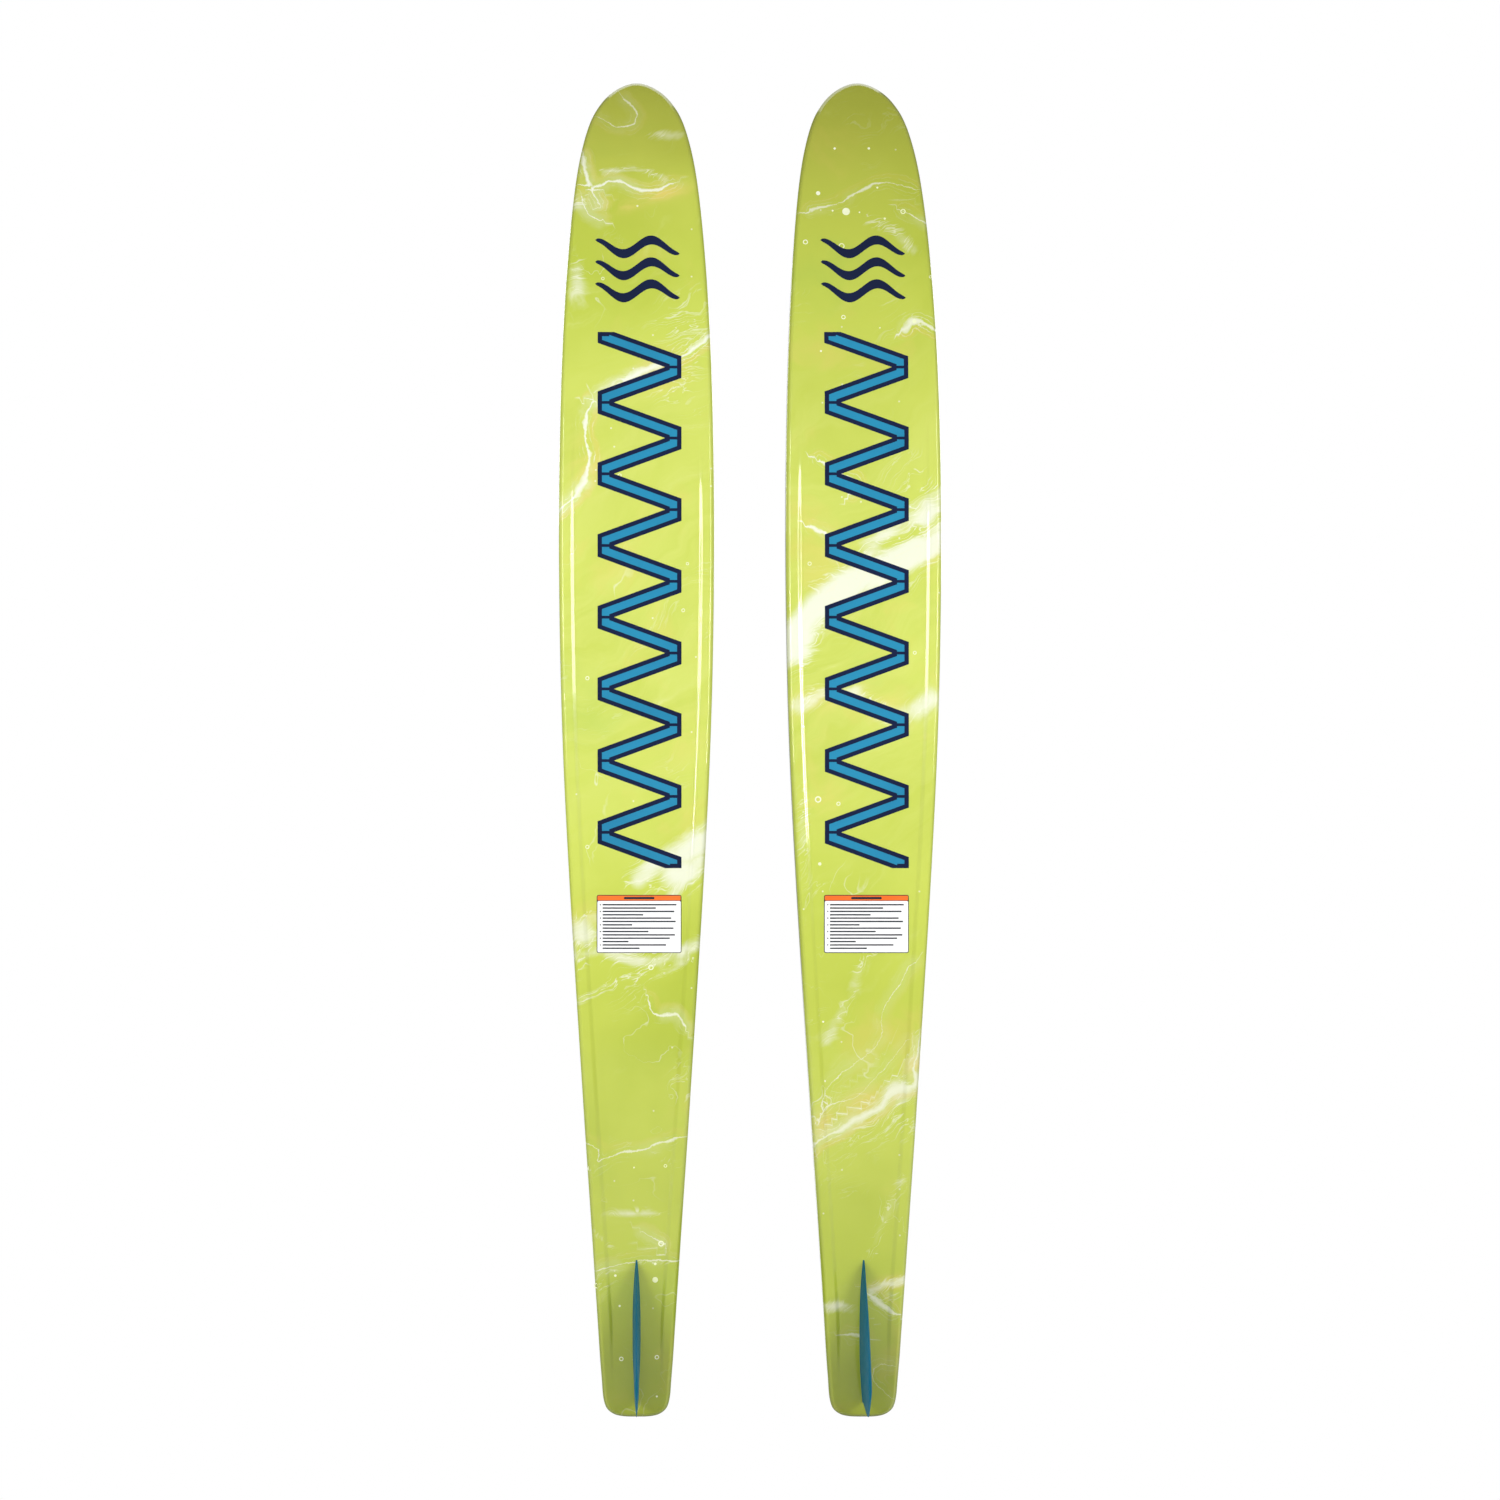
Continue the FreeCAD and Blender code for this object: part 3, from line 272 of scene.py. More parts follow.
    # fine swirls: level lines of a warped noise that come and go
    field = t.noise(t.vec("ADD", q, (7.7, 0.2, 2.9)), 6.5, 3.5, 0.55, 1.1)
    width = t.math("MULTIPLY", t.step(t.noise(p, 15, 2, 0.5), 0.45, 0.72), 0.010)
    gap = t.math("ABSOLUTE", t.math("SUBTRACT", field, 0.53))
    swirl = t.math("SUBTRACT", 1.0, t.math("DIVIDE", gap, t.math("ADD", width, 0.0010)), clamp=True)
    where = t.step(t.noise(t.vec("ADD", p, (1.9, 4.4, 0.3)), 5.0, 2, 0.5), 0.52, 0.66)
    wisps = t.math("MULTIPLY", t.math("MULTIPLY", fibres, t.step(t.noise(t.vec("ADD", p, (5.9, 1.4, 3.3)), 7.0, 3, 0.5), 0.54, 0.7)), 0.55)
    swirl = t.math("MAXIMUM", wisps, t.math("MULTIPLY", swirl, t.math("MULTIPLY", where, 0.7)))
    # placed veins: the distance from their middle line, in millimetres, is kept on the mesh
    ragged = t.math("MULTIPLY", t.math("SUBTRACT", t.noise(p, 40, 5, 0.65), 0.5), 13.0)
    signed = t.math("ADD", t.attribute("vein"), ragged)
    far = t.math("ABSOLUTE", signed)
    around = t.step(t.attribute("reach"), 22.0, 15.0)
    girth = t.math("ADD", 1.0, t.math("MULTIPLY", t.step(t.noise(p, 19, 3, 0.5), 0.40, 0.70), 6.5))
    girth = t.math("MULTIPLY", girth, t.attribute("bold"))
    body = t.math("SUBTRACT", 1.0, t.math("DIVIDE", far, girth), clamp=True)
    body = t.math("POWER", body, 0.5)
    comb = t.math("SINE", t.math("ADD", t.math("MULTIPLY", signed, 1.25), t.math("MULTIPLY", t.noise(p, 22, 3, 0.6), 16.0)))
    threads = t.math("MULTIPLY", t.step(comb, 0.72, 0.98), t.math("MULTIPLY", t.step(far, 17.0, 5.0), t.math("MULTIPLY", t.attribute("bold"), 0.6)))
    threads = t.math("MULTIPLY", threads, t.step(t.noise(p, 31, 3, 0.6), 0.40, 0.58))
    halo = t.math("MULTIPLY", t.step(far, 15.0, 2.0), t.math("MULTIPLY", t.step(cloud, 0.42, 0.62), t.math("MULTIPLY", t.attribute("bold"), 0.45)))
    tint = t.math("MULTIPLY", t.step(t.math("ABSOLUTE", t.math("SUBTRACT", signed, 9.0)), 5.5, 1.0), 0.4)
    colour = t.mix(t.math("MULTIPLY", t.math("MULTIPLY", tint, around), t.attribute("bold")), colour, lin(228, 210, 110))
    placed = t.math("MULTIPLY", t.math("MAXIMUM", t.math("MAXIMUM", body, threads), halo), around)
    swirl = t.math("MAXIMUM", swirl, placed)
    colour = t.mix(swirl, colour, lin(246, 249, 236))
    # small specks
    flat = t.node("ShaderNodeCombineXYZ")
    t.put(flat.inputs[0], parts.outputs[0])
    t.put(flat.inputs[1], parts.outputs[2])
    spots = t.node("ShaderNodeTexVoronoi", voronoi_dimensions="2D")
    t.put(spots.inputs["Vector"], flat.outputs[0])
    t.put(spots.inputs["Scale"], 44.0)
    chosen = t.node("ShaderNodeSeparateColor")
    t.put(chosen.inputs[0], spots.outputs["Color"])
    speck = t.step(spots.outputs["Distance"], 0.060, 0.030)
    speck = t.math("MULTIPLY", speck, t.math("MULTIPLY", t.math("GREATER_THAN", chosen.outputs[0], 0.93), 0.75))
    colour = t.mix(speck, colour, lin(240, 244, 220))
    # faint print mottling
    grain = t.noise(p, 420, 3, 0.6)
    colour = t.mix(t.math("MULTIPLY", t.step(grain, 0.62, 0.8), 0.12), colour, lin(228, 190, 80))
    # painted shade: the lime is darkened towards the tip and the tail, where the lamps' light falls off
    painted_shade_ramp = t.node("ShaderNodeValToRGB")
    place = t.node("ShaderNodeSeparateXYZ")
    t.put(place.inputs[0], t.place())
    t.put(painted_shade_ramp.inputs[0], t.math("DIVIDE", place.outputs[2], 1.6))
    marks = painted_shade_ramp.color_ramp.elements
    while len(marks) > 1:
        marks.remove(marks[0])
    for i, (at_z, level) in enumerate(falloff_levels):
        mark = marks[0] if i == 0 else marks.new(at_z / 1600)
        mark.position, mark.color = at_z / 1600, (level, level, level ** 1.9, 1)
    colour = t.vec("MULTIPLY", colour, painted_shade_ramp.outputs[0])
    # painted shade: the lime is darkened close to its outline, where the edge turns into shade
    rim = t.step(t.attribute("rim"), 3.4, 0.8)
    colour = t.mix(t.math("MULTIPLY", rim, 0.55), colour, t.vec("MULTIPLY", colour, (0.42, 0.45, 0.30)))
    handled = t.step(t.noise(p, 38, 5, 0.65), 0.4, 0.75)
    t.bump(t.noise(p, 30, 2, 0.4), 0.05, 0.0006)
    t.finish(colour, t.math("ADD", t.math("MULTIPLY", handled, 0.06), 0.15), Coat_Weight=0.7, Coat_Roughness=0.05,
             Specular_IOR_Level=0.3)
    return t.material


def gloss_ink(name, colour, dark):
    """Printed ink under the same gloss, with a slight screen-print mottle."""
    t = Tree(name)
    p = t.place()
    c = t.mix(t.math("MULTIPLY", t.step(t.noise(p, 9, 4, 0.6), 0.4, 0.7), 0.5), colour, dark)
    t.bump(t.noise(p, 30, 2, 0.4), 0.05, 0.0006)
    return t.finish(c, t.math("ADD", t.math("MULTIPLY", t.noise(p, 40, 3, 0.6), 0.08), 0.16), Coat_Weight=0.3,
                    Coat_Roughness=0.06, Specular_IOR_Level=0.3)


def moulded(name, colour, light, rough, grain=900, depth=0.00012, coat=0.0, wear=0.35, gloss=0.5):
    """Injection-moulded plastic: fine spark-eroded grain, paler on its edges."""
    t = Tree(name)
    p = t.place()
    edge = t.node("ShaderNodeNewGeometry").outputs["Pointiness"]
    worn = t.math("MULTIPLY", t.step(edge, 0.51, 0.60), wear)
    cloud = t.math("MULTIPLY", t.step(t.noise(p, 14, 4, 0.6), 0.35, 0.75), 0.35)
    c = t.mix(t.math("MAXIMUM", worn, cloud), colour, light)
    t.bump(t.noise(p, grain, 3, 0.6), 0.5, depth)
    r = t.math("ADD", t.math("MULTIPLY", t.noise(p, 60, 4, 0.6), 0.16), rough - 0.06)
    return t.finish(c, r, Coat_Weight=coat, Coat_Roughness=0.12, Specular_IOR_Level=gloss)


def metal(name, colour, dark, rough, scale=(900, 40, 900)):
    """Turned or brushed metal: fine lines across one way and a soft tarnish."""
    t = Tree(name)
    p = t.place()
    lines = t.noise(t.vec("MULTIPLY", p, scale), 1.0, 3, 0.6)
    soil = t.step(t.noise(p, 70, 4, 0.6), 0.45, 0.75)
    c = t.mix(t.math("MULTIPLY", soil, 0.5), colour, dark)
    t.bump(lines, 0.12, 0.0001)
    return t.finish(c, t.math("ADD", t.math("MULTIPLY", lines, 0.18), rough), Metallic=1.0)


# painted shade along each ski, darker towards the tip and the tail where the lamps' light falls off: (height along Z in
# millimetres, share of full strength)
PAINTED_FALLOFF = {
    "right": [(0, 0.56), (60, 0.60), (150, 0.76), (270, 0.74), (380, 0.81), (500, 0.85), (640, 0.93), (900, 0.97), (1100, 0.95),
              (1300, 0.93), (1420, 0.92), (1470, 0.93), (1510, 0.78), (1560, 0.7), (1600, 0.62)],
    "left": [(0, 0.52), (60, 0.57), (150, 0.80), (260, 0.76), (380, 0.8), (500, 0.82), (640, 0.92), (900, 0.97), (1100, 0.93),
             (1300, 0.83), (1420, 0.77), (1470, 0.74), (1510, 0.69), (1560, 0.61), (1600, 0.56)],
}
MAT = {
    "base_right": lime_marble("lime_marble_right", 0.0, PAINTED_FALLOFF["right"]),
    "base_left": lime_marble("lime_marble_left", 2.3, PAINTED_FALLOFF["left"]),
    "navy": gloss_ink("ink_navy", lin(9, 25, 62), lin(6, 18, 48)),
    "teal": gloss_ink("ink_teal", lin(36, 137, 176), lin(28, 118, 158)),
    "white": gloss_ink("ink_label", lin(250, 250, 250), lin(240, 241, 240)),
    "orange": gloss_ink("ink_orange", lin(245, 118, 44), lin(232, 100, 34)),
    "milk": gloss_ink("ink_milk", lin(236, 240, 210), lin(214, 224, 130)),
    "grey": gloss_ink("ink_grey", lin(46, 48, 56), lin(34, 36, 44)),
    "fin": moulded("fin_nylon", lin(0, 92, 116), lin(0, 104, 134), 0.45, 700, 0.00004, 0.0, 0.2, 0.12),
    "black": moulded("plate_nylon", lin(24, 26, 29), lin(58, 61, 66), 0.48),
    "dark": moulded("carriage_nylon", lin(44, 47, 52), lin(84, 88, 94), 0.45),
    "lever": moulded("lever_nylon", lin(26, 116, 146), lin(70, 158, 182), 0.34, 800, 0.00008, 0.2),
    "anodised": metal("clamp_anodised", lin(62, 66, 74), lin(38, 41, 48), 0.3, (40, 900, 900)),
    "steel": metal("screw_steel", lin(196, 198, 200), lin(140, 142, 146), 0.22),
    "brass": metal("insert_brass", lin(214, 176, 98), lin(150, 112, 56), 0.26),
    "core": moulded("core_foam", lin(226, 204, 150), lin(240, 224, 184), 0.8, 500, 0.0005),
}


def set_material(obj, *materials):
    obj.data.materials.clear()
    for m in materials:
        obj.data.materials.append(m)


# ------------------------------------------------------------------ meshes

def new_mesh(name, verts, faces, body, material, smooth=True, attributes=None, sharp=None):
    mesh = bpy.data.meshes.new(name)
    mesh.from_pydata([tuple(v) for v in verts], [], [tuple(int(i) for i in f) for f in faces])
    mesh.validate()
    if attributes:
        for key, values in attributes.items():
            layer = mesh.attributes.new(key, "FLOAT", "POINT")
            layer.data.foreach_set("value", np.asarray(values, np.float32))
    obj = bpy.data.objects.new(name, mesh)
    scene.collection.objects.link(obj)
    mesh.materials.append(material)
    if smooth:
        mesh.shade_smooth()
    if sharp is not None:
        sharpen(mesh, sharp)
    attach(obj, body)
    return obj


def sharpen(mesh, degrees):
    mesh.set_sharp_from_angle(angle=math.radians(degrees))


def grid_faces(rows, cols, first=0, close_rows=False, close_cols=False, flip=False):
    faces = []
    for i in range(rows if close_rows else rows - 1):
        for j in range(cols if close_cols else cols - 1):
            a, b = i * cols + j, i * cols + (j + 1) % cols
            c, d = ((i + 1) % rows) * cols + (j + 1) % cols, ((i + 1) % rows) * cols + j
            face = [first + k for k in ((a, d, c, b) if flip else (a, b, c, d))]
            faces.append(face)
    return faces


def tidy(obj, distance=1e-6):
    """Merge doubled points and turn every face outwards."""
    bm = bmesh.new()
    bm.from_mesh(obj.data)
    bmesh.ops.remove_doubles(bm, verts=bm.verts, dist=distance)
    bmesh.ops.dissolve_degenerate(bm, edges=bm.edges, dist=distance)
    bmesh.ops.recalc_face_normals(bm, faces=bm.faces)
    bm.to_mesh(obj.data)
    bm.free()
    obj.data.update()


# the outline and side view of a ski, in millimetres about its own centre line
OUTLINE = [(0, 0), (6, 0), (13, 0.2), (19, 0.9), (25.5, 2.6), (31.0, 5.7), (35.2, 10.0), (38.0, 16.5), (39.7, 25),
           (40.9, 40), (42.6, 62), (44.8, 95), (48.3, 150), (54.8, 250), (60.2, 330), (66.0, 420), (72.0, 515),
           (77.2, 600), (82.0, 685), (85.9, 765), (89.2, 860), (91.1, 960), (91.5, 1000), (91.7, 1060), (91.0, 1140),
           (89.2, 1225), (85.6, 1315), (81.6, 1378), (77.3, 1430), (72.9, 1470), (68.3, 1500), (62.9, 1525),
           (57.1, 1545), (50.8, 1560), (44.2, 1571), (37.4, 1580), (29.0, 1588), (19.5, 1594.4), (9.5, 1598.6),
           (3, 1599.9), (0, 1600)]


def clamped_spline(marks, values, start, end):
    """Second derivatives of the cubic spline through values, and a function that reads it."""
    k = len(marks)
    h = np.diff(marks)
    a, rhs = np.zeros((k, k)), np.zeros(k)
    a[0, 0], a[0, 1], rhs[0] = 2 * h[0], h[0], 6 * ((values[1] - values[0]) / h[0] - start)
    a[-1, -1], a[-1, -2], rhs[-1] = 2 * h[-1], h[-1], 6 * (end - (values[-1] - values[-2]) / h[-1])
    for i in range(1, k - 1):
        a[i, i - 1], a[i, i], a[i, i + 1] = h[i - 1], 2 * (h[i - 1] + h[i]), h[i]
        rhs[i] = 6 * ((values[i + 1] - values[i]) / h[i] - (values[i] - values[i - 1]) / h[i - 1])
    curve = np.linalg.solve(a, rhs)

    def read(u):
        i = np.clip(np.searchsorted(marks, u, side="right") - 1, 0, k - 2)
        s, r = u - marks[i], marks[i + 1] - u
        value = (curve[i] * r ** 3 + curve[i + 1] * s ** 3) / (6 * h[i]) + (values[i] / h[i] - curve[i] * h[i] / 6) * r + (values[i + 1] / h[i] - curve[i + 1] * h[i] / 6) * s
        slope = (-curve[i] * r ** 2 + curve[i + 1] * s ** 2) / (2 * h[i]) - (values[i] / h[i] - curve[i] * h[i] / 6) + (values[i + 1] / h[i] - curve[i + 1] * h[i] / 6)
        return value, slope
    return read


_points = np.array(OUTLINE, float)
_marks = np.concatenate([[0], np.cumsum(np.hypot(*np.diff(_points, axis=0).T))])
_read_x = clamped_spline(_marks, _points[:, 0], 1.0, -1.0)
_read_z = clamped_spline(_marks, _points[:, 1], 0.0, 0.03)
FLAT_BACK, FLAT_FRONT = 330.0, 1000.0


def base_y(z):
    z = np.asarray(z, float)
    tip = np.clip((z - FLAT_FRONT) / (1600 - FLAT_FRONT), 0, None)
    tail = np.clip((FLAT_BACK - z) / FLAT_BACK, 0, None)
    return BASE + 62 * tip ** 2.4 + 10 * tail ** 2


def deck_y(z):
    z = np.asarray(z, float)
    u = np.clip((z - FLAT_FRONT) / (1600 - FLAT_FRONT), 0, 1)
    v = np.clip((FLAT_BACK - z) / FLAT_BACK, 0, 1)
    return base_y(z) + 21 - 10 * u * u * (3 - 2 * u) - 9 * v * v * (3 - 2 * v)


def tunnel_depth(z):
    z = np.asarray(z, float)
    front = np.clip((1230 - z) / 210.0, 0, 1)
    back = np.clip((z - 14) / 190.0, 0, 1)
    return 2.5 * front * front * (3 - 2 * front) * back * back * (3 - 2 * back)


def stations(count=300):
    """Places along the half outline, closer together where it turns."""
    fine = np.linspace(0, _marks[-1], 6000)
    x, dx = _read_x(fine)
    z, dz = _read_z(fine)
    turn = np.abs(np.gradient(np.unwrap(np.arctan2(dx, dz)), fine))
    weight = 1.0 / 9.0 + turn * 9.0
    total = np.concatenate([[0], np.cumsum((weight[1:] + weight[:-1]) / 2 * np.diff(fine))])
    return np.interp(np.linspace(0, total[-1], count), total, fine)


STATIONS = stations()


def ring(inset):
    """Points (x, z) of the half outline moved inwards by inset."""
    x, dx = _read_x(STATIONS)
    z, dz = _read_z(STATIONS)
    size = np.hypot(dx, dz)
    near = np.clip(np.minimum(z / 130.0, (1600 - z) / 130.0), 0, 1)
    ease = 0.5 + 0.5 * near * near * (3 - 2 * near)
    step = inset if inset <= 6 else 6 + (inset - 6) * ease
    nx, nz = x - dz / size * step, z + dx / size * step
    nx[0] = nx[-1] = 0.0
    return np.maximum(nx, 0), nz


def skin(profile, inner, columns=22):
    """A closed half shell: outer centre line, outer rings, parting edge, inner rings and inner centre line."""
    def across(x, z, height):
        share = np.linspace(0, 1, columns)[:-1]
        return [np.stack([x * s, height(z), z], 1) for s in share]
    lines = []
    x, z = ring(profile[0][0])
    lines += across(x, z, profile[0][1])
    for inset, height in profile + inner:
        x, z = ring(inset)
        lines.append(np.stack([x, height(z), z], 1))
    x, z = ring(inner[-1][0])
    lines += list(reversed(across(x, z, inner[-1][1])))
    return np.array(lines)


def paint(obj, hand, maps):
    """Keeps each reading of the poured pattern, and the outline distance for the painted rim shade, on the mesh's
    points.
    """
    co = np.zeros(len(obj.data.vertices) * 3)
    obj.data.vertices.foreach_get("co", co)
    co = co.reshape(-1, 3) / MM
    local = np.stack([co[:, 0] - CX[hand] / MM, co[:, 2]], 1)
    for key, read in maps.items():
        layer = obj.data.attributes.get(key) or obj.data.attributes.new(key, "FLOAT", "POINT")
        layer.data.foreach_set("value", read(local).astype(np.float32))


def punch(obj, hand, spots, maps):
    """Round holes (x, z, radius) through the deck skin."""
    bm = bmesh.new()
    for x, z, radius in spots:
        turn = np.linspace(0, 2 * math.pi, 40, endpoint=False)
        rings_ = []
        for y in (float(deck_y(z)) - 3.2, float(deck_y(z)) + 3):
            rings_.append([bm.verts.new(((CX[hand] / MM + x + radius * math.cos(a)) * MM, y * MM, (z + radius * math.sin(a)) * MM))
                           for a in turn])
        for i in range(40):
            j = (i + 1) % 40
            bm.faces.new((rings_[0][i], rings_[0][j], rings_[1][j], rings_[1][i]))
        bm.faces.new(rings_[0])
        bm.faces.new(rings_[1])
    bmesh.ops.recalc_face_normals(bm, faces=bm.faces)
    mesh = bpy.data.meshes.new("cutter")
    bm.to_mesh(mesh)
    bm.free()
    cutter = bpy.data.objects.new("cutter", mesh)
    scene.collection.objects.link(cutter)
    step = obj.modifiers.new("holes", "BOOLEAN")
    step.operation, step.solver, step.object = "DIFFERENCE", "EXACT", cutter
    bpy.context.view_layer.update()
    done = bpy.data.meshes.new_from_object(obj.evaluated_get(bpy.context.evaluated_depsgraph_get()))
    obj.modifiers.remove(step)
    old = obj.data
    obj.data = done
    bpy.data.meshes.remove(old)
    bpy.data.objects.remove(cutter)
    bpy.data.meshes.remove(mesh)
    paint(obj, hand, maps)
    obj.data.shade_smooth()
    sharpen(obj.data, 50)


def ski_piece(name, profile, inner, hand, node, material, maps):
    half = skin(profile, inner)
    rows, cols = half.shape[:2]
    right = half.reshape(-1, 3)
    left = right * np.array([-1, 1, 1])
    verts = np.concatenate([right, left])
    faces = grid_faces(rows, cols) + grid_faces(rows, cols, rows * cols, flip=True)
    world_verts = (verts + np.array([CX[hand] / MM, 0, 0])) * MM
    obj = new_mesh(name, world_verts, faces, hand + "_ski", material)
    tidy(obj, 2e-6)
    paint(obj, hand, maps)
    obj.data.shade_smooth()
    sharpen(obj.data, 50)
    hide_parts(node)
    return obj


def blobs(spots):
    """Soft patches (x, z, reach along x, reach along z, lean, strength)."""
    def read(p):
        total = np.zeros(len(p))
        for x, z, rx, rz, lean, strength in spots:
            c, s = math.cos(math.radians(lean)), math.sin(math.radians(lean))
            u, v = p[:, 0] - x, p[:, 1] - z
            a, b = (u * c + v * s) / rx, (v * c - u * s) / rz
            total = np.maximum(total, strength * np.exp(-(a * a + b * b)))
        return total
    return read


def veins(lines):
    """Signed distance, in millimetres, from the nearest of a few drawn lines, and that line's boldness."""
    smooth = []
    for points in lines:
        pts = np.array(points, float)
        marks = np.concatenate([[0], np.cumsum(np.hypot(*np.diff(pts, axis=0).T))])
        n_fine = max(8, int(marks[-1] / 4))
        u = np.linspace(0, marks[-1], n_fine)
        first, last = (pts[1] - pts[0]) / marks[1], (pts[-1] - pts[-2]) / (marks[-1] - marks[-2])
        fx, fz = clamped_spline(marks, pts[:, 0], first[0], last[0]), clamped_spline(marks, pts[:, 1], first[1], last[1])
        smooth.append(np.stack([fx(u)[0], fz(u)[0]], 1))

    def read(p, boldness=None):
        best, bold = np.full(len(p), 60.0), np.ones(len(p))
        for number, line in enumerate(smooth):
            for a, b in zip(line, line[1:]):
                d = b - a
                length = max(1e-6, float(d @ d))
                s = np.clip(((p - a) @ d) / length, 0, 1)
                gap = p - (a + s[:, None] * d)
                dist = np.hypot(gap[:, 0], gap[:, 1])
                side = np.sign(d[0] * (p[:, 1] - a[1]) - d[1] * (p[:, 0] - a[0]))
                near = dist < np.abs(best)
                best[near] = (dist * np.where(side == 0, 1, side))[near]
                if boldness is not None:
                    bold[near] = boldness[number]
        return np.clip(best, -60, 60) if boldness is None else bold
    return read


PATTERN = {
    "right": {
        "spots": [(49, 646, 30, 22, 12, 1.1), (-63, 575, 24, 20, 0, 1.0), (-77, 542, 12, 30, 0, 0.8), (-16, 1219, 22, 12, 30, 0.7),
                  (-70, 1440, 14, 16, 0, 0.5), (40, 1530, 30, 8, 0, 0.5), (-70, 1350, 12, 40, 0, 0.45), (0, 245, 34, 5, 0, 0.75),
                  (45, 760, 30, 40, 10, 0.25)],
        "bands": [([(95, 694), (61, 672), (19, 651), (2, 637)], 16, 1.0), ([(-82, 584), (-39, 592), (2, 584), (31, 607), (74, 662)], 10, 0.72),
                  ([(-84, 537), (-45, 554), (2, 540), (76, 562)], 11, 0.8), ([(-75, 489), (-34, 513), (14, 525), (61, 542)], 7, 0.6),
                  ([(0, 900), (40, 960), (85, 1010)], 14, 0.25), ([(-50, 222), (-4, 187), (43, 187)], 4, 0.35),
                  ([(-41, 1482), (1, 1486), (36, 1474)], 5, 0.55), ([(-30, 330), (10, 318), (50, 300)], 6, 0.3)],
        "veins": [[(95, 1286), (61, 1261), (16, 1241), (-19, 1225), (-51, 1202), (-61, 1167), (-55, 1137), (-69, 1094), (-93, 1071)],
                  [(14, 495), (19, 481), (49, 478), (57, 464)], [(-60, 328), (-45, 318), (-54, 298), (-28, 313), (2, 318), (46, 333)],
                  [(-53, 1204), (-34, 1207), (-20, 1220)], [(-43, 178), (-4, 187), (43, 188)], [(-66, 1452), (-57, 1431), (-43, 1423)],
                  [(8, 222), (30, 208)], [(-14, 1577), (-4, 1565), (-2, 1549), (-18, 1541), (-45, 1553)],
                  [(-57, 1462), (-26, 1470), (13, 1458), (44, 1470)], [(-64, 1502), (-57, 1470), (-45, 1442)]],
        "bold": [1.0, 0.5, 0.35, 0.8, 0.3, 0.5, 0.4, 0.3, 0.45, 0.7],
        "glows": [(31, 1456, 30, 9, 10, 0.9), (-20, 1440, 26, 8, 10, 0.8), (30, 1238, 26, 20, 20, 0.8), (-60, 1130, 16, 30, 0, 0.6),
                  (-40, 600, 40, 16, 10, 0.5), (40, 800, 40, 30, 20, 0.3), (0, 1380, 30, 10, 0, 0.3)],
        "rings": [(-54, 297, 3.6), (29, 208, 3.4), (-47, 158, 3.2), (-18, 71, 2.6), (24, 73, 2.6), (-20, 1114, 2.4), (55, 955, 2.2),
                  (-58, 875, 2.4), (-58, 676, 2.4), (17, 534, 3.2), (60, 1010, 1.8), (-40, 1350, 2.0), (34, 300, 2.0)],
        "dots": [(22, 184, 1.6), (-25, 170, 1.5), (22, 165, 3.4), (3, 138, 1.3), (-20, 134, 1.3), (24, 26, 1.2), (2, 70, 0.9),
                 (-39, 203, 1.2), (-30, 1170, 1.0), (70, 900, 1.0), (-70, 800, 0.9), (-3, 298, 1.0), (1, 1440, 1.2)],
    },
    "left": {
        "spots": [(-78, 919, 22, 34, -20, 1.15), (75, 1066, 24, 28, -30, 0.85), (61, 1298, 9, 6, 0, 1.3), (40, 389, 20, 14, 30, 1.1),
                  (-72, 700, 10, 60, 0, 0.45), (30, 145, 16, 6, 10, 0.6), (-30, 133, 20, 7, 0, 0.9), (60, 1000, 20, 30, 0, 0.4)],
        "bands": [([(97, 1046), (36, 1011), (-23, 982), (-72, 940), (-95, 905)], 21, 1.1), ([(95, 1098), (63, 1078), (34, 1055), (-2, 1013)], 13, 0.7),
                  ([(-76, 843), (-25, 860), (39, 831), (80, 850)], 13, 0.55), ([(22, 566), (1, 542), (-19, 495), (-43, 448)], 10, 0.42),
                  ([(8, 151), (22, 158), (52, 166)], 6, 0.95), ([(45, 283), (22, 230), (10, 195)], 9, 0.4),
                  ([(5, 1425), (35, 1412), (62, 1385)], 9, 0.5)],
        "veins": [[(66, 449), (63, 430), (57, 411), (63, 399), (34, 389), (22, 372), (-11, 354), (-31, 340), (-55, 330), (-62, 318)],
                  [(59, 540), (39, 511), (22, 478), (18, 448), (-5, 425), (-41, 393), (-58, 352)], [(87, 1287), (75, 1293), (61, 1298), (51, 1290)],
                  [(51, 1434), (63, 1428), (76, 1420)], [(-52, 1131), (-31, 1119), (-8, 1102), (-14, 1094)],
                  [(34, 64), (14, 60), (11, 49), (22, 35), (37, 22)], [(51, 448), (34, 425), (12, 403), (-14, 380), (-43, 372), (-56, 348)],
                  [(4, 149), (16, 140), (34, 128)], [(-16, 99), (2, 96)], [(-60, 1052), (-40, 1040), (-34, 1022)],
                  [(-60, 1434), (-14, 1450), (32, 1470), (63, 1462)]],
        "bold": [1.0, 0.22, 0.9, 0.35, 0.6, 0.3, 0.2, 0.5, 0.3, 0.5, 0.35],
        "glows": [(0, 372, 30, 18, 30, 0.9), (-48, 352, 12, 20, -20, 0.8), (60, 420, 14, 22, 0, 0.8), (-50, 850, 30, 14, 10, 0.5),
                  (20, 845, 40, 14, 0, 0.45), (35, 162, 24, 8, 10, 0.7), (80, 1030, 14, 30, 0, 0.4)],
        "rings": [(-24, 1390, 3.6), (-67, 1395, 3.0), (50, 1433, 3.2), (-23, 1303, 2.6), (81, 1352, 1.8), (-54, 732, 3.8), (-30, 727, 2.4),
                  (60, 905, 2.2), (20, 560, 2.0), (-64, 1010, 2.4)],
        "dots": [(-18, 1433, 4.6), (-51, 1456, 2.6), (-30, 1513, 1.5), (11, 1513, 1.5), (-34, 1434, 1.1), (28, 1424, 1.4), (-2, 1432, 1.0),
                 (20, 1463, 1.2), (-46, 400, 1.2), (-52, 656, 2.0), (-48, 470, 1.2), (61, 1298, 2.6), (20, 1290, 0.9), (-50, 1262, 1.2)],
    },
}


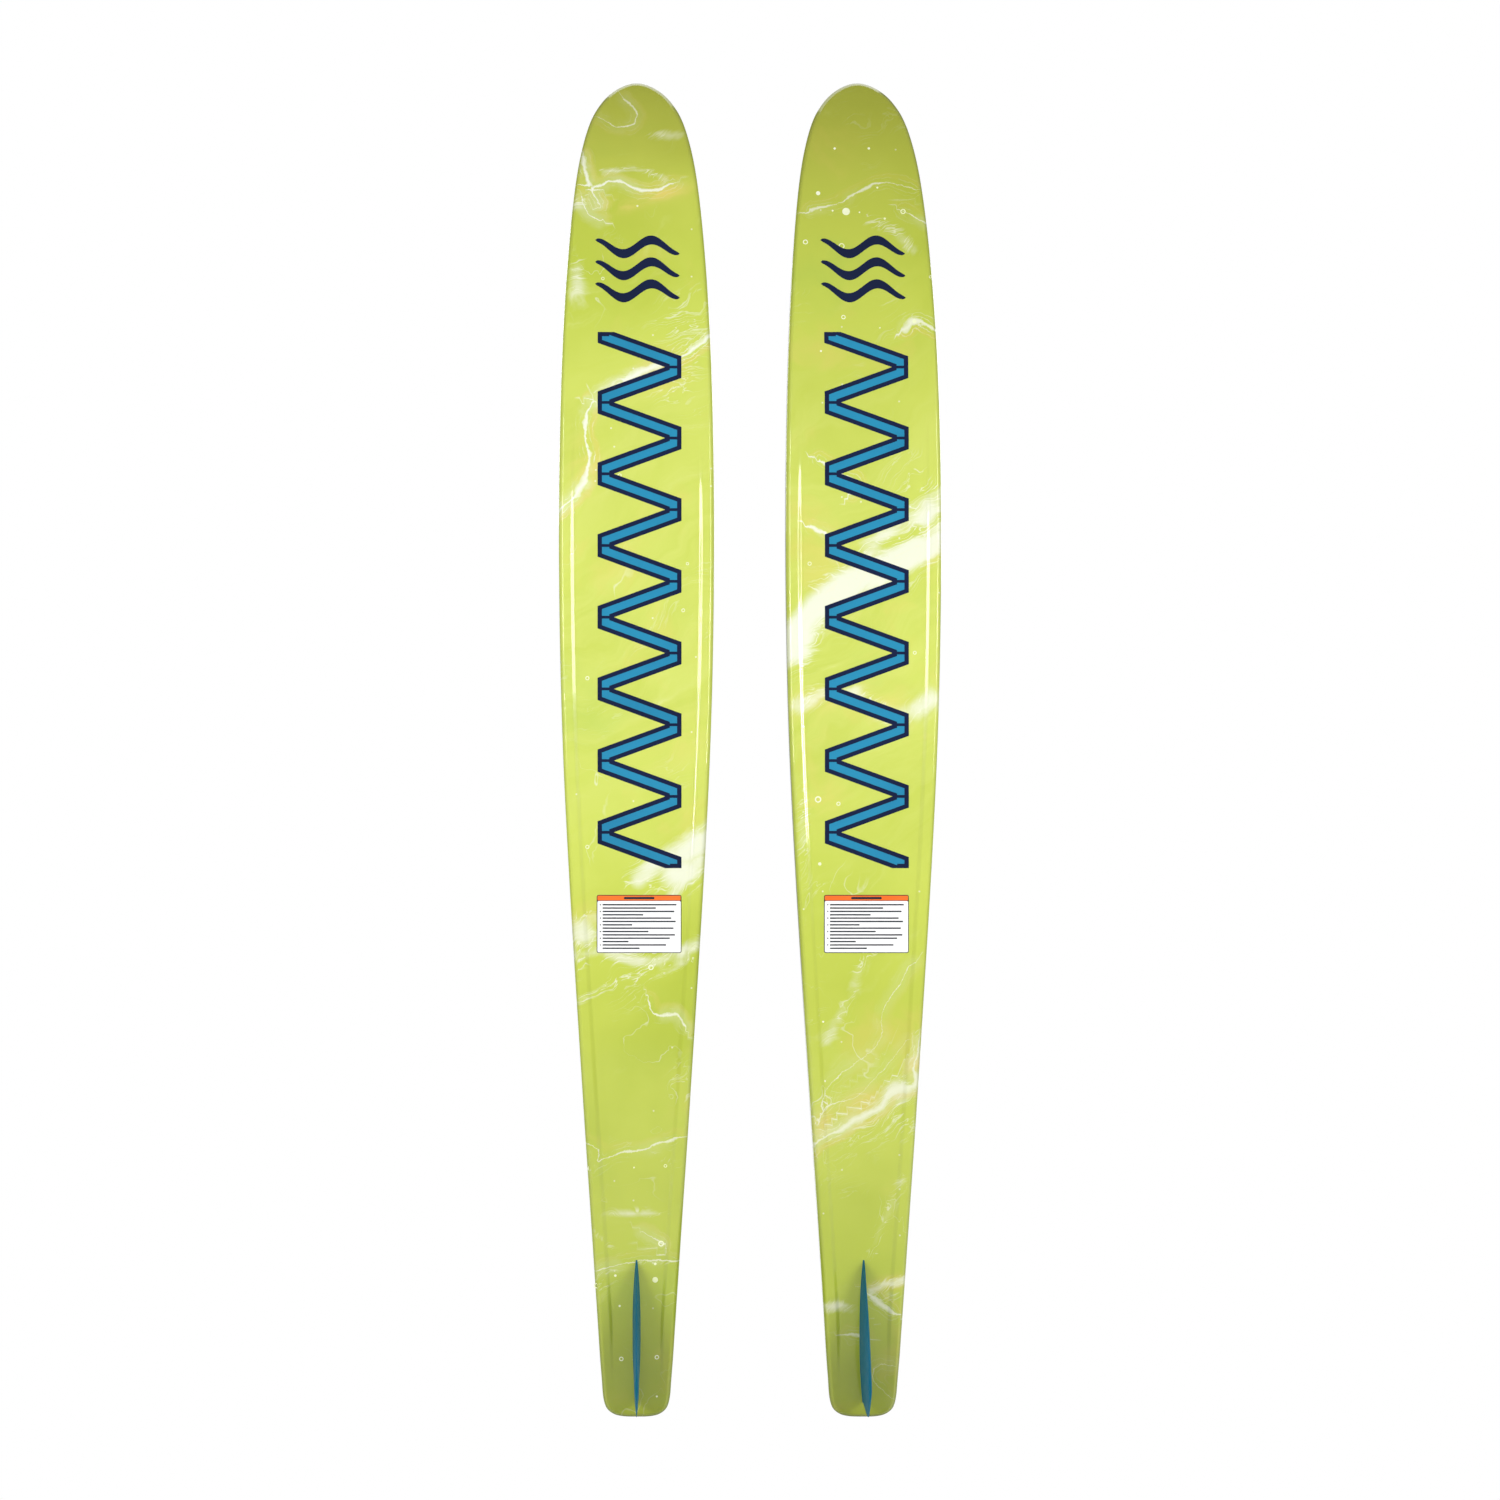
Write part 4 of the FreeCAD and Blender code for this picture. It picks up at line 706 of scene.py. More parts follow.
def rim_of(p):
    """Distance from the outline, in millimetres, up to 20."""
    x, z = ring(0)
    x, z = np.interp(np.linspace(0, len(x) - 1, 1800), np.arange(len(x)), x), np.interp(np.linspace(0, len(z) - 1, 1800), np.arange(len(z)), z)
    tree = mathutils.kdtree.KDTree(len(x))
    for i, (a, b) in enumerate(zip(x, z)):
        tree.insert((a, 0, b), i)
    tree.balance()
    return np.array([min(20.0, tree.find((abs(float(a)), 0, float(b)))[2]) for a, b in p])


def pattern_maps(hand):
    """Three readings of the poured pattern at points (x, z): milkiness, distance from a vein, and warmth; and the
    distance from the outline, which sets the painted shade along the rim.
    """
    own = PATTERN[hand]
    soft, warm, line = blobs(own["spots"]), blobs(own["glows"]), veins(own["veins"])
    strips = [(veins([points]), wide, strength) for points, wide, strength in own["bands"]]

    def veil(p):
        total = soft(p)
        for reader, wide, strength in strips:
            total = np.maximum(total, strength * np.exp(-(reader(p) / wide) ** 2))
        return total
    return {"veil": veil, "vein": line, "reach": lambda p: np.abs(line(p)),
            "bold": lambda p: line(p, own["bold"]), "glow": warm, "rim": rim_of}


def up(shift):
    return lambda z: base_y(z) + shift


def into_tunnel(share):
    return lambda z: base_y(z) + tunnel_depth(z) * share


def deck_less(drop):
    return lambda z: deck_y(z) - drop


BASE_PROFILE = [(18.8, into_tunnel(1.0)), (18.0, into_tunnel(0.965)), (17.2, into_tunnel(0.83)), (15.8, into_tunnel(0.5)),
                (14.3, into_tunnel(0.17)), (13.5, into_tunnel(0.035)), (12.7, up(0)), (9.0, up(0)), (5.8, up(0)),
                (4.9, up(0.05)), (4.2, up(0.28)), (3.4, up(0.9)), (1.0, up(3.1)), (0.35, up(3.72)), (0.06, up(4.2)),
                (0.0, up(4.7)), (0.0, up(5.42))]
BASE_INNER = [(3.0, up(5.42)), (3.0, up(4.6))]
DECK_PROFILE = [(7.0, deck_less(0)), (5.2, deck_less(0)), (4.2, deck_less(0.06)), (2.9, deck_less(0.45)),
                (1.5, deck_less(1.45)), (0.5, deck_less(2.95)), (0.08, deck_less(4.2)), (0.0, deck_less(5.2)),
                (0.0, up(5.58))]
DECK_INNER = [(3.0, up(5.58)), (3.0, deck_less(1.75))]

for hand in ("right", "left"):
    maps = pattern_maps(hand)
    ski_piece(hand + "_base_skin", BASE_PROFILE, BASE_INNER, hand, hand + "_ski_base_shell",
              MAT["base_" + hand], maps)
    deck = ski_piece(hand + "_deck_skin", DECK_PROFILE, DECK_INNER, hand, hand + "_ski_deck_shell",
                     MAT["base_" + hand], maps)
    punch(deck, hand, [(0, 66, 7.4), (0, 116, 7.4)] + [(s * x, z, 4.53) for s in (1, -1)
                                                       for x, z in ((38, 553), (38, 953), (30, 345), (30, 515))], maps)

# ------------------------------------------------------------------ fins

def fin_mesh(hand):
    """A leaf section, deepest near the tail, with a soft crest and a small fillet where it meets the base."""
    depths = np.array([-8, 5, 18, 31, 44, 57], float)
    lows = np.array([19, 18, 17.2, 17.6, 22.5, 44])
    highs = np.array([191, 179, 161, 137, 107, 72])
    shares = np.array([1.0, 0.98, 0.92, 0.81, 0.66, 0.45]) * 7.7 / 2
    low_of = clamped_spline(depths, lows, -0.08, 2.4)
    high_of = clamped_spline(depths, highs, -0.85, -3.1)
    half_of = clamped_spline(depths, shares, 0.0, -0.03)

    def root(z):
        return base_y(z) - BASE + tunnel_depth(z)

    across, down = 34, 46
    share = (1 - np.cos(np.linspace(0, math.pi, across))) / 2
    rows = []
    for k in range(down):
        f = k / (down - 1)
        f = f ** 1.15
        y = np.full(across, -57 * f)
        for _ in range(6):
            low, high = low_of(-y)[0], high_of(-y)[0]
            z = low + (high - low) * share
            start = root(z) + 1.2
            y = start + (-57 - start) * f
        under = np.clip(root(z) - y, 0, None)
        half = half_of(-y)[0] * (1 - np.abs(2 * share - 1) ** 2.5) + 0.22
        flare = 0.8 * np.clip(1 - under / 1.6, 0, 1) ** 2
        crest = np.clip((y + 57) / 1.6, 0, 1)
        round_off = np.sqrt(np.clip(1 - (1 - crest) ** 2, 0, 1)) * 0.5 + 0.5
        half = half * round_off + flare
        z = z + flare * np.sign(share - 0.5) * np.clip(np.abs(share - 0.5) * 2, 0, 1) ** 6
        rows.append(np.concatenate([np.stack([half, y, z], 1), np.stack([-half, y, z], 1)[::-1]]))
    rows = np.array(rows)
    count = rows.shape[1]
    verts = list(rows.reshape(-1, 3))
    faces = grid_faces(down, count, close_cols=True)
    for row in (0, down - 1):
        for j in range(across - 1):
            quad = [row * count + j, row * count + j + 1, row * count + count - 2 - j, row * count + count - 1 - j]
            faces.append(quad if row else quad[::-1])
    verts = (np.array(verts) + np.array([CX[hand] / MM, BASE, 0])) * MM
    obj = new_mesh(hand + "_fin_leaf", verts, faces, hand + "_ski", MAT["fin"])
    tidy(obj, 1e-7)
    obj.data.shade_smooth()
    sharpen(obj.data, 38)
    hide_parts(hand + "_fin")
    return obj


for hand in ("right", "left"):
    fin_mesh(hand)


# ------------------------------------------------------------------ printed graphics

def outline_area(points):
    x, y = np.array(points).T
    return 0.5 * float(np.sum(x * np.roll(y, -1) - np.roll(x, -1) * y))


def stroke(points, width, closed=False):
    """The outline of a line of even width with square ends and mitred corners."""
    pts = [np.array(p, float) for p in points]
    count = len(pts)
    sides = []
    for sign in (1, -1):
        side = []
        for i, p in enumerate(pts):
            before = pts[i - 1] if (closed or i > 0) else None
            after = pts[(i + 1) % count] if (closed or i < count - 1) else None
            ways = []
            for a, b in ((before, p), (p, after)):
                if a is not None and b is not None:
                    d = b - a
                    ways.append(d / np.hypot(*d))
            normal = sum(np.array([-w[1], w[0]]) for w in ways)
            normal = normal / np.hypot(*normal)
            reach = width / 2 / max(0.35, float(normal @ np.array([-ways[0][1], ways[0][0]])))
            extra = np.zeros(2)
            if not closed and (i == 0 or i == count - 1):
                extra = ways[0] * (-width / 2 if i == 0 else width / 2) * 0
            side.append(p + sign * normal * reach + extra)
        sides.append(side)
    if closed:
        return sides
    return [sides[0] + sides[1][::-1]]


def slab(name, loops, hand, material, lift, sink=0.12, step=9.0):
    """Thin printed film on the base: flat outlines (the later ones are holes) laid on the ski's own surface."""
    bm = bmesh.new()
    for loop in loops:
        ring_verts = [bm.verts.new((p[0], 0, p[1])) for p in loop]
        for a, b in zip(ring_verts, ring_verts[1:] + ring_verts[:1]):
            bm.edges.new((a, b))
    bmesh.ops.triangle_fill(bm, use_beauty=True, edges=bm.edges[:], normal=(0, -1, 0))
    if not bm.faces:
        raise RuntimeError(name + " has no faces")
    zs = [v.co.z for v in bm.verts]
    if max(zs) > FLAT_FRONT or min(zs) < FLAT_BACK:
        z = math.floor(min(zs) / step) * step + step
        while z < max(zs):
            bmesh.ops.bisect_plane(bm, geom=bm.verts[:] + bm.edges[:] + bm.faces[:], plane_co=(0, 0, z), plane_no=(0, 0, 1))
            z += step
    for f in bm.faces:
        if f.normal.y > 0:
            f.normal_flip()
    top = bm.faces[:]
    made = bmesh.ops.extrude_face_region(bm, geom=top)
    lower = {v for v in made["geom"] if isinstance(v, bmesh.types.BMVert)}
    for v in bm.verts:
        z = v.co.z
        surface = float(base_y(z) + tunnel_depth(z))
        v.co.y = surface - lift if v in lower else surface + sink
        v.co.x += CX[hand] / MM
    bmesh.ops.recalc_face_normals(bm, faces=bm.faces)
    for v in bm.verts:
        v.co *= MM
    mesh = bpy.data.meshes.new(name)
    bm.to_mesh(mesh)
    bm.free()
    obj = bpy.data.objects.new(name, mesh)
    scene.collection.objects.link(obj)
    mesh.materials.append(material)
    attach(obj, hand + "_ski")
    return obj


def arc_points(cx, cz, radius, start, end, count):
    return [(cx + radius * math.cos(math.radians(a)), cz + radius * math.sin(math.radians(a)))
            for a in np.linspace(start, end, count)]


def band(cx, cz, inner, outer, start, end, count=40):
    return arc_points(cx, cz, outer, start, end, count) + arc_points(cx, cz, inner, end, start, count)


def rounded(x0, z0, x1, z1, r, count=6):
    out = []
    for cx, cz, a in ((x1 - r, z1 - r, 0), (x0 + r, z1 - r, 90), (x0 + r, z0 + r, 180), (x1 - r, z0 + r, 270)):
        out += arc_points(cx, cz, r, a, a + 90, count)
    return out


def join_meshes(name, objects):
    """One object out of several of the same material."""
    bm = bmesh.new()
    for o in objects:
        bm.from_mesh(o.data)
    mesh = objects[0].data
    bm.to_mesh(mesh)
    bm.free()
    for o in objects[1:]:
        old = o.data
        bpy.data.objects.remove(o)
        bpy.data.meshes.remove(old)
    objects[0].name = name
    return objects[0]


COLUMN_X, COLUMN_LOW, COLUMN_HIGH, COLUMN_HALF = 3.5, 651.0, 1285.0, 49.5


def zigzag_column(hand):
    """A flat-topped zigzag ribbon: a teal line inside a wide navy one, cut square at both ends."""
    legs, wide, core, run = 15, 19.0, 8.6, 13.0
    reach = COLUMN_HALF - wide / 2
    pitch = (COLUMN_HIGH - COLUMN_LOW) / legs
    corners = []
    for i in range(legs + 1):
        x, z = COLUMN_X + reach * (-1) ** i, COLUMN_LOW + pitch * i
        corners += [(x, z - run / 2), (x, z + run / 2)]
    corners = corners[1:-1]
    path = [(corners[0][0], COLUMN_LOW)] + corners + [(corners[-1][0], COLUMN_HIGH)]
    border = slab(hand + "_column_border", (stroke(path, wide)[0],), hand, MAT["navy"], 0.10)
    fills = []
    for i in range(legs):
        a, b = np.array(corners[2 * i]), np.array(corners[2 * i + 1])
        low = (a[0], a[1] - (run / 2 - (5.2 if i == 0 else 1.7)))
        high = (b[0], b[1] + (run / 2 - (5.2 if i == legs - 1 else 1.7)))
        fills.append((stroke([low, tuple(a), tuple(b), high], core)[0],))
    pieces = [slab("core", loops, hand, MAT["teal"], 0.16) for loops in fills]
    return border, join_meshes(hand + "_column_core", pieces)


def bubbles(hand):
    """Small pale rings and dots of the poured pattern."""
    own, pieces = PATTERN[hand], []
    for x, z, r in own["rings"]:
        pieces.append(slab("ring", (arc_points(x, z, r, 0, 345, 24), arc_points(x, z, r * 0.62, 0, 340, 18)), hand, MAT["milk"], 0.06))
    for x, z, r in own["dots"]:
        pieces.append(slab("dot", (arc_points(x, z, r, 0, 337.5, 16),), hand, MAT["milk"], 0.06))
    join_meshes(hand + "_bubbles", pieces)


def wave_emblem(hand):
    """Three plain wave bands, one above the other."""
    cx, cz = 1.0, 1362.0
    loops = []
    for mid in (27, 0, -27):
        xs = np.linspace(-50, 50, 48)
        taper = np.sqrt(np.clip(1 - (xs / 50.0) ** 2, 0, 1))
        wave = mid + 8.5 * np.sin(xs / 50.0 * math.pi * 1.5)
        thick = 5.6 * taper + 0.35
        top = [(cx + x, cz + w + t) for x, w, t in zip(xs, wave, thick)]
        low = [(cx + x, cz + w - t) for x, w, t in zip(xs, wave, thick)]
        loops.append((top + low[::-1],))
    pieces = [slab("wave", l, hand, MAT["navy"], 0.10) for l in loops]
    return join_meshes(hand + "_emblem", pieces)


def blank_label(hand):
    """A plain sticker: white film with a dark edge, an orange band with a bar, and ruled lines of uneven length."""
    x0, x1, z0, z1 = -47.0, 53.0, 551.0, 619.5
    slab(hand + "_label_edge", (rounded(x0, z0, x1, z1, 2.4),), hand, MAT["grey"], 0.10)
    slab(hand + "_label_film", (rounded(x0 + 0.9, z0 + 0.9, x1 - 0.9, z1 - 7.2, 1.6),), hand, MAT["white"], 0.15)
    slab(hand + "_label_band", (rounded(x0 + 0.9, z1 - 6.6, x1 - 0.9, z1 - 0.9, 1.4),), hand, MAT["orange"], 0.15)
    rules = [slab("rule", (rounded(-15, z1 - 5.2, 21, z1 - 2.4, 1.2),), hand, MAT["grey"], 0.19)]
    shares = [1.0, 0.72, 0.97, 0.55, 0.93, 0.99, 0.4, 0.96, 0.62, 0.98, 0.91, 0.35, 0.86, 0.5]
    for i, share in enumerate(shares):
        z = z1 - 11.6 - i * 3.95
        end = x0 + 7 + (x1 - x0 - 13) * share
        rules.append(slab("rule", ([(x0 + 7, z - 0.85), (end, z - 0.85), (end, z + 0.85), (x0 + 7, z + 0.85)],), hand,
                          MAT["grey"], 0.19))
        if i % 2 == 0:
            rules.append(slab("mark", (arc_points(x0 + 4.4, z, 0.8, 0, 330, 10),), hand, MAT["grey"], 0.19))
    join_meshes(hand + "_label_rules", rules)


for hand in ("right", "left"):
    zigzag_column(hand)
    bubbles(hand)
    wave_emblem(hand)
    blank_label(hand)


# ------------------------------------------------------------------ deck graphics

def half_width(z):
    x, along = ring(0)
    order = np.argsort(along)
    return np.interp(z, along[order], x[order])


def side_band(name, hand, near, far, z0, z1, material, lift=0.1, taper=70.0):
    """A printed stripe down each side of the deck, drawn to a point at both ends."""
    pieces = []
    for side in (1, -1):
        zs = np.linspace(z0, z1, int((z1 - z0) / 8) + 2)
        fade = np.clip(np.minimum(zs - z0, z1 - zs) / taper, 0.04, 1)
        out = half_width(zs) - near
        inn = out - (far - near) * fade
        high, low = deck_y(zs) + lift, deck_y(zs) - 0.12
        rows = np.stack([np.stack([side * out, high, zs], 1), np.stack([side * inn, high, zs], 1),
                         np.stack([side * inn, low, zs], 1), np.stack([side * out, low, zs], 1)], 1)
        verts = (rows.reshape(-1, 3) + np.array([CX[hand] / MM, 0, 0])) * MM
        faces = grid_faces(len(zs), 4, close_cols=True) + [[0, 1, 2, 3], [len(verts) - 1 - k for k in range(4)]]
        obj = new_mesh("stripe", verts, faces, hand + "_ski", material, smooth=False)
        tidy(obj, 1e-8)
        pieces.append(obj)
    return join_meshes(name, pieces)


for hand in ("right", "left"):
    side_band(hand + "_deck_band", hand, 6.2, 12.2, 545, 1400, MAT["navy"])
    side_band(hand + "_deck_line", hand, 13.3, 14.6, 565, 1370, MAT["teal"])
    side_band(hand + "_tail_band", hand, 6.2, 11.0, 60, 320, MAT["navy"])

# ------------------------------------------------------------------ bindings: shared makers

PLATE = 24.0    # the top of the binding plate above the base
SEAT = 28.0     # the top of the sliding carriage


def at(hand, points):
    """Local millimetres (across, above the base, along) to the scene's metres."""
    pts = np.asarray(points, float).reshape(-1, 3).copy()
    pts[:, 0] += CX[hand] / MM
    pts[:, 1] += BASE
    return pts * MM


def walled(name, outer, inner, hand, body, material, sharp=45):
    """A closed wall between two grids of points, joined along every free side with a rounded lip."""
    outer, inner = np.asarray(outer, float), np.asarray(inner, float)
    rows, cols = outer.shape[:2]
    verts = list(outer.reshape(-1, 3)) + list(inner.reshape(-1, 3))
    base = rows * cols
    faces = grid_faces(rows, cols) + grid_faces(rows, cols, base, flip=True)
    loop = [(0, j) for j in range(cols)] + [(i, cols - 1) for i in range(1, rows)]
    loop += [(rows - 1, j) for j in range(cols - 2, -1, -1)] + [(i, 0) for i in range(rows - 2, 0, -1)]
    middle = len(verts)
    for i, j in loop:
        # a neighbour one step inside tells which way is out
        o, n_ = outer[i, j], inner[i, j]
        ii, jj = min(max(i, 1), rows - 2), min(max(j, 1), cols - 2)
        out = (o + n_) / 2 - (outer[ii, jj] + inner[ii, jj]) / 2
        size, wall = np.linalg.norm(out), np.linalg.norm(o - n_)
        verts.append((o + n_) / 2 + (out / size if size > 1e-9 else 0) * wall * 0.3)
    for k in range(len(loop)):
        (i, j), (i2, j2) = loop[k], loop[(k + 1) % len(loop)]
        a, b = i * cols + j, i2 * cols + j2
        m, m2 = middle + k, middle + (k + 1) % len(loop)
        faces.append((a, m, m2, b))
        faces.append((m, base + a, base + b, m2))
    obj = new_mesh(name, at(hand, verts), faces, hand + "_" + body, material)
    tidy(obj, 1e-7)
    obj.data.shade_smooth()
    sharpen(obj.data, sharp)
    return obj


def pipe(name, path, radius, hand, body, material, sides=10, closed=False, squash=1.0):
    """A round bead along a path, with rounded ends."""
    p = np.asarray(path, float)
    count = len(p)
    ways = np.gradient(p, axis=0) if not closed else (np.roll(p, -1, 0) - np.roll(p, 1, 0))
    ways /= np.linalg.norm(ways, axis=1)[:, None]
    first = np.cross(ways[0], [0.3, 1, 0.2])
    first /= np.linalg.norm(first)
    rows = []
    radii = np.full(count, radius, float) if np.isscalar(radius) else np.asarray(radius, float)
    for k in range(count):
        first = first - ways[k] * (first @ ways[k])
        first /= np.linalg.norm(first)
        second = np.cross(ways[k], first)
        turn = np.linspace(0, 2 * math.pi, sides, endpoint=False)
        rows.append(p[k] + radii[k] * (np.cos(turn)[:, None] * first * squash + np.sin(turn)[:, None] * second))
    if not closed:
        caps_a, caps_b = [], []
        for s in (0.9, 0.6):
            grow = math.sqrt(1 - s * s)
            caps_a.append(p[0] + (rows[0] - p[0]) * grow - ways[0] * radii[0] * s)
            caps_b.append(p[-1] + (rows[-1] - p[-1]) * grow + ways[-1] * radii[-1] * s)
        rows = caps_a + rows + caps_b[::-1]
    verts = list(np.array(rows).reshape(-1, 3))
    faces = grid_faces(len(rows), sides, close_rows=closed, close_cols=True)
    if not closed:
        faces.append(list(range(sides))[::-1])
        faces.append([(len(rows) - 1) * sides + k for k in range(sides)])
    obj = new_mesh(name, at(hand, verts), faces, hand + "_" + body, material)
    tidy(obj, 1e-8)
    obj.data.shade_smooth()
    return obj


def stitches(name, path, normals, hand, body, material, pitch=4.2, length=2.7, radius=0.42, lift=0.1):
    """A row of short sunk threads along a path."""
    p, nrm = np.asarray(path, float), np.asarray(normals, float)
    marks = np.concatenate([[0], np.cumsum(np.linalg.norm(np.diff(p, axis=0), axis=1))])
    verts, faces = [], []
    rings, sides = 5, 6
    for s in np.arange(pitch, marks[-1] - pitch, pitch):
        ends = []
        for d in (-length / 2, 0, length / 2):
            ends.append([np.interp(s + d, marks, p[:, k]) for k in range(3)])
        ends = np.array(ends)
        up_way = np.array([np.interp(s, marks, nrm[:, k]) for k in range(3)])
        up_way /= np.linalg.norm(up_way)
        way = ends[2] - ends[0]
        way /= np.linalg.norm(way)
        side = np.cross(way, up_way)
        first = len(verts)
        for f in np.linspace(-1, 1, rings):
            centre = ends[1] + (ends[2] - ends[0]) / 2 * f + up_way * (lift - 0.25 * f * f)
            r = radius * math.sqrt(max(0.12, 1 - f * f * 0.9))
            for a in np.linspace(0, 2 * math.pi, sides, endpoint=False):
                verts.append(centre + r * (math.cos(a) * up_way + math.sin(a) * side))
        faces += grid_faces(rings, sides, first, close_cols=True)
        faces.append([first + k for k in range(sides)][::-1])
        faces.append([first + (rings - 1) * sides + k for k in range(sides)])
    obj = new_mesh(name, at(hand, verts), faces, hand + "_" + body, material)
    tidy(obj, 1e-9)
    obj.data.shade_smooth()
    return obj


def grid_normals(points):
    du = np.gradient(points, axis=1)
    dv = np.gradient(points, axis=0)
    n_ = np.cross(du, dv)
    n_ /= np.maximum(np.linalg.norm(n_, axis=2), 1e-9)[:, :, None]
    return n_


def ease(value, low, high):
    u = np.clip((value - low) / (high - low), 0, 1)
    return u * u * (3 - 2 * u)


# ------------------------------------------------------------------ soft materials

def stretch_rubber(name, colour, light):
    """Stretch rubber boot: fine pebbled skin, softly sheened, scuffed paler on its high spots."""
    t = Tree(name)
    p = t.place()
    pebble = t.node("ShaderNodeTexVoronoi", feature="SMOOTH_F1")
    t.put(pebble.inputs["Vector"], p)
    t.put(pebble.inputs["Scale"], 620.0)
    dust = t.step(t.noise(p, 26, 5, 0.6), 0.45, 0.75)
    edge = t.step(t.node("ShaderNodeNewGeometry").outputs["Pointiness"], 0.505, 0.56)
    c = t.mix(t.math("MAXIMUM", t.math("MULTIPLY", dust, 0.35), t.math("MULTIPLY", edge, 0.5)), colour, light)
    first = t.bump(pebble.outputs["Distance"], 0.45, 0.0003)
    t.bump(t.noise(p, 90, 4, 0.6), 0.25, 0.0004, first)
    return t.finish(c, t.math("ADD", t.math("MULTIPLY", dust, 0.14), 0.46), Sheen_Weight=0.15, Specular_IOR_Level=0.45)


def eva_foam(name, colour, light):
    """Closed-cell foam: tiny bubbles, matt, a little paler where feet rub."""
    t = Tree(name)
    p = t.place()
    cells = t.node("ShaderNodeTexVoronoi")
    t.put(cells.inputs["Vector"], p)
    t.put(cells.inputs["Scale"], 900.0)
    rub = t.step(t.noise(p, 18, 4, 0.6), 0.4, 0.72)
    c = t.mix(t.math("MULTIPLY", rub, 0.4), colour, light)
    c = t.mix(t.math("MULTIPLY", t.step(cells.outputs["Distance"], 0.4, 0.9), 0.3), c, light)
    first = t.bump(cells.outputs["Distance"], 0.5, 0.0003)
    t.bump(t.noise(p, 240, 3, 0.6), 0.3, 0.0003, first)
    return t.finish(c, t.math("ADD", t.math("MULTIPLY", rub, 0.1), 0.74))


def woven(name, colour, dark, threads=1500.0, along="z"):
    """Plain-woven nylon: warp and weft ridges with a soft sheen."""
    t = Tree(name)
    p = t.place()
    xyz = t.node("ShaderNodeSeparateXYZ")
    t.put(xyz.inputs[0], p)
    a = t.math("SINE", t.math("MULTIPLY", xyz.outputs[0], threads * 2.2))
    b = t.math("SINE", t.math("MULTIPLY", t.math("ADD", xyz.outputs[1], xyz.outputs[2]), threads * 2.2))
    weave = t.math("MULTIPLY", t.math("ADD", t.math("MULTIPLY", a, b), 1.0), 0.5)
    fuzz = t.noise(p, 900, 3, 0.6)
    c = t.mix(t.math("MULTIPLY", t.math("ADD", weave, fuzz), 0.45), colour, dark)
    t.bump(weave, 0.6, 0.0003)
    return t.finish(c, t.math("ADD", t.math("MULTIPLY", fuzz, 0.12), 0.6), Sheen_Weight=0.3)


MAT.update({
    "rubber": stretch_rubber("boot_rubber", lin(31, 33, 37), lin(72, 76, 82)),
    "rubber_light": stretch_rubber("boot_rubber_grey", lin(66, 70, 76), lin(104, 108, 114)),
    "lining": woven("boot_lining", lin(30, 122, 156), lin(14, 78, 108), 1900.0),
    "binding_tape": woven("boot_edge_tape", lin(40, 43, 48), lin(20, 22, 26), 2300.0),
    "thread": woven("boot_thread", lin(190, 206, 70), lin(150, 166, 40), 3000.0),
    "foam": eva_foam("bed_foam", lin(48, 52, 57), lin(84, 89, 95)),
    "webbing": woven("pull_webbing", lin(190, 206, 64), lin(132, 148, 30), 1300.0),
    "grip": stretch_rubber("grip_rubber", lin(34, 35, 37), lin(66, 68, 70)),
})


# ------------------------------------------------------------------ stretch toe pieces

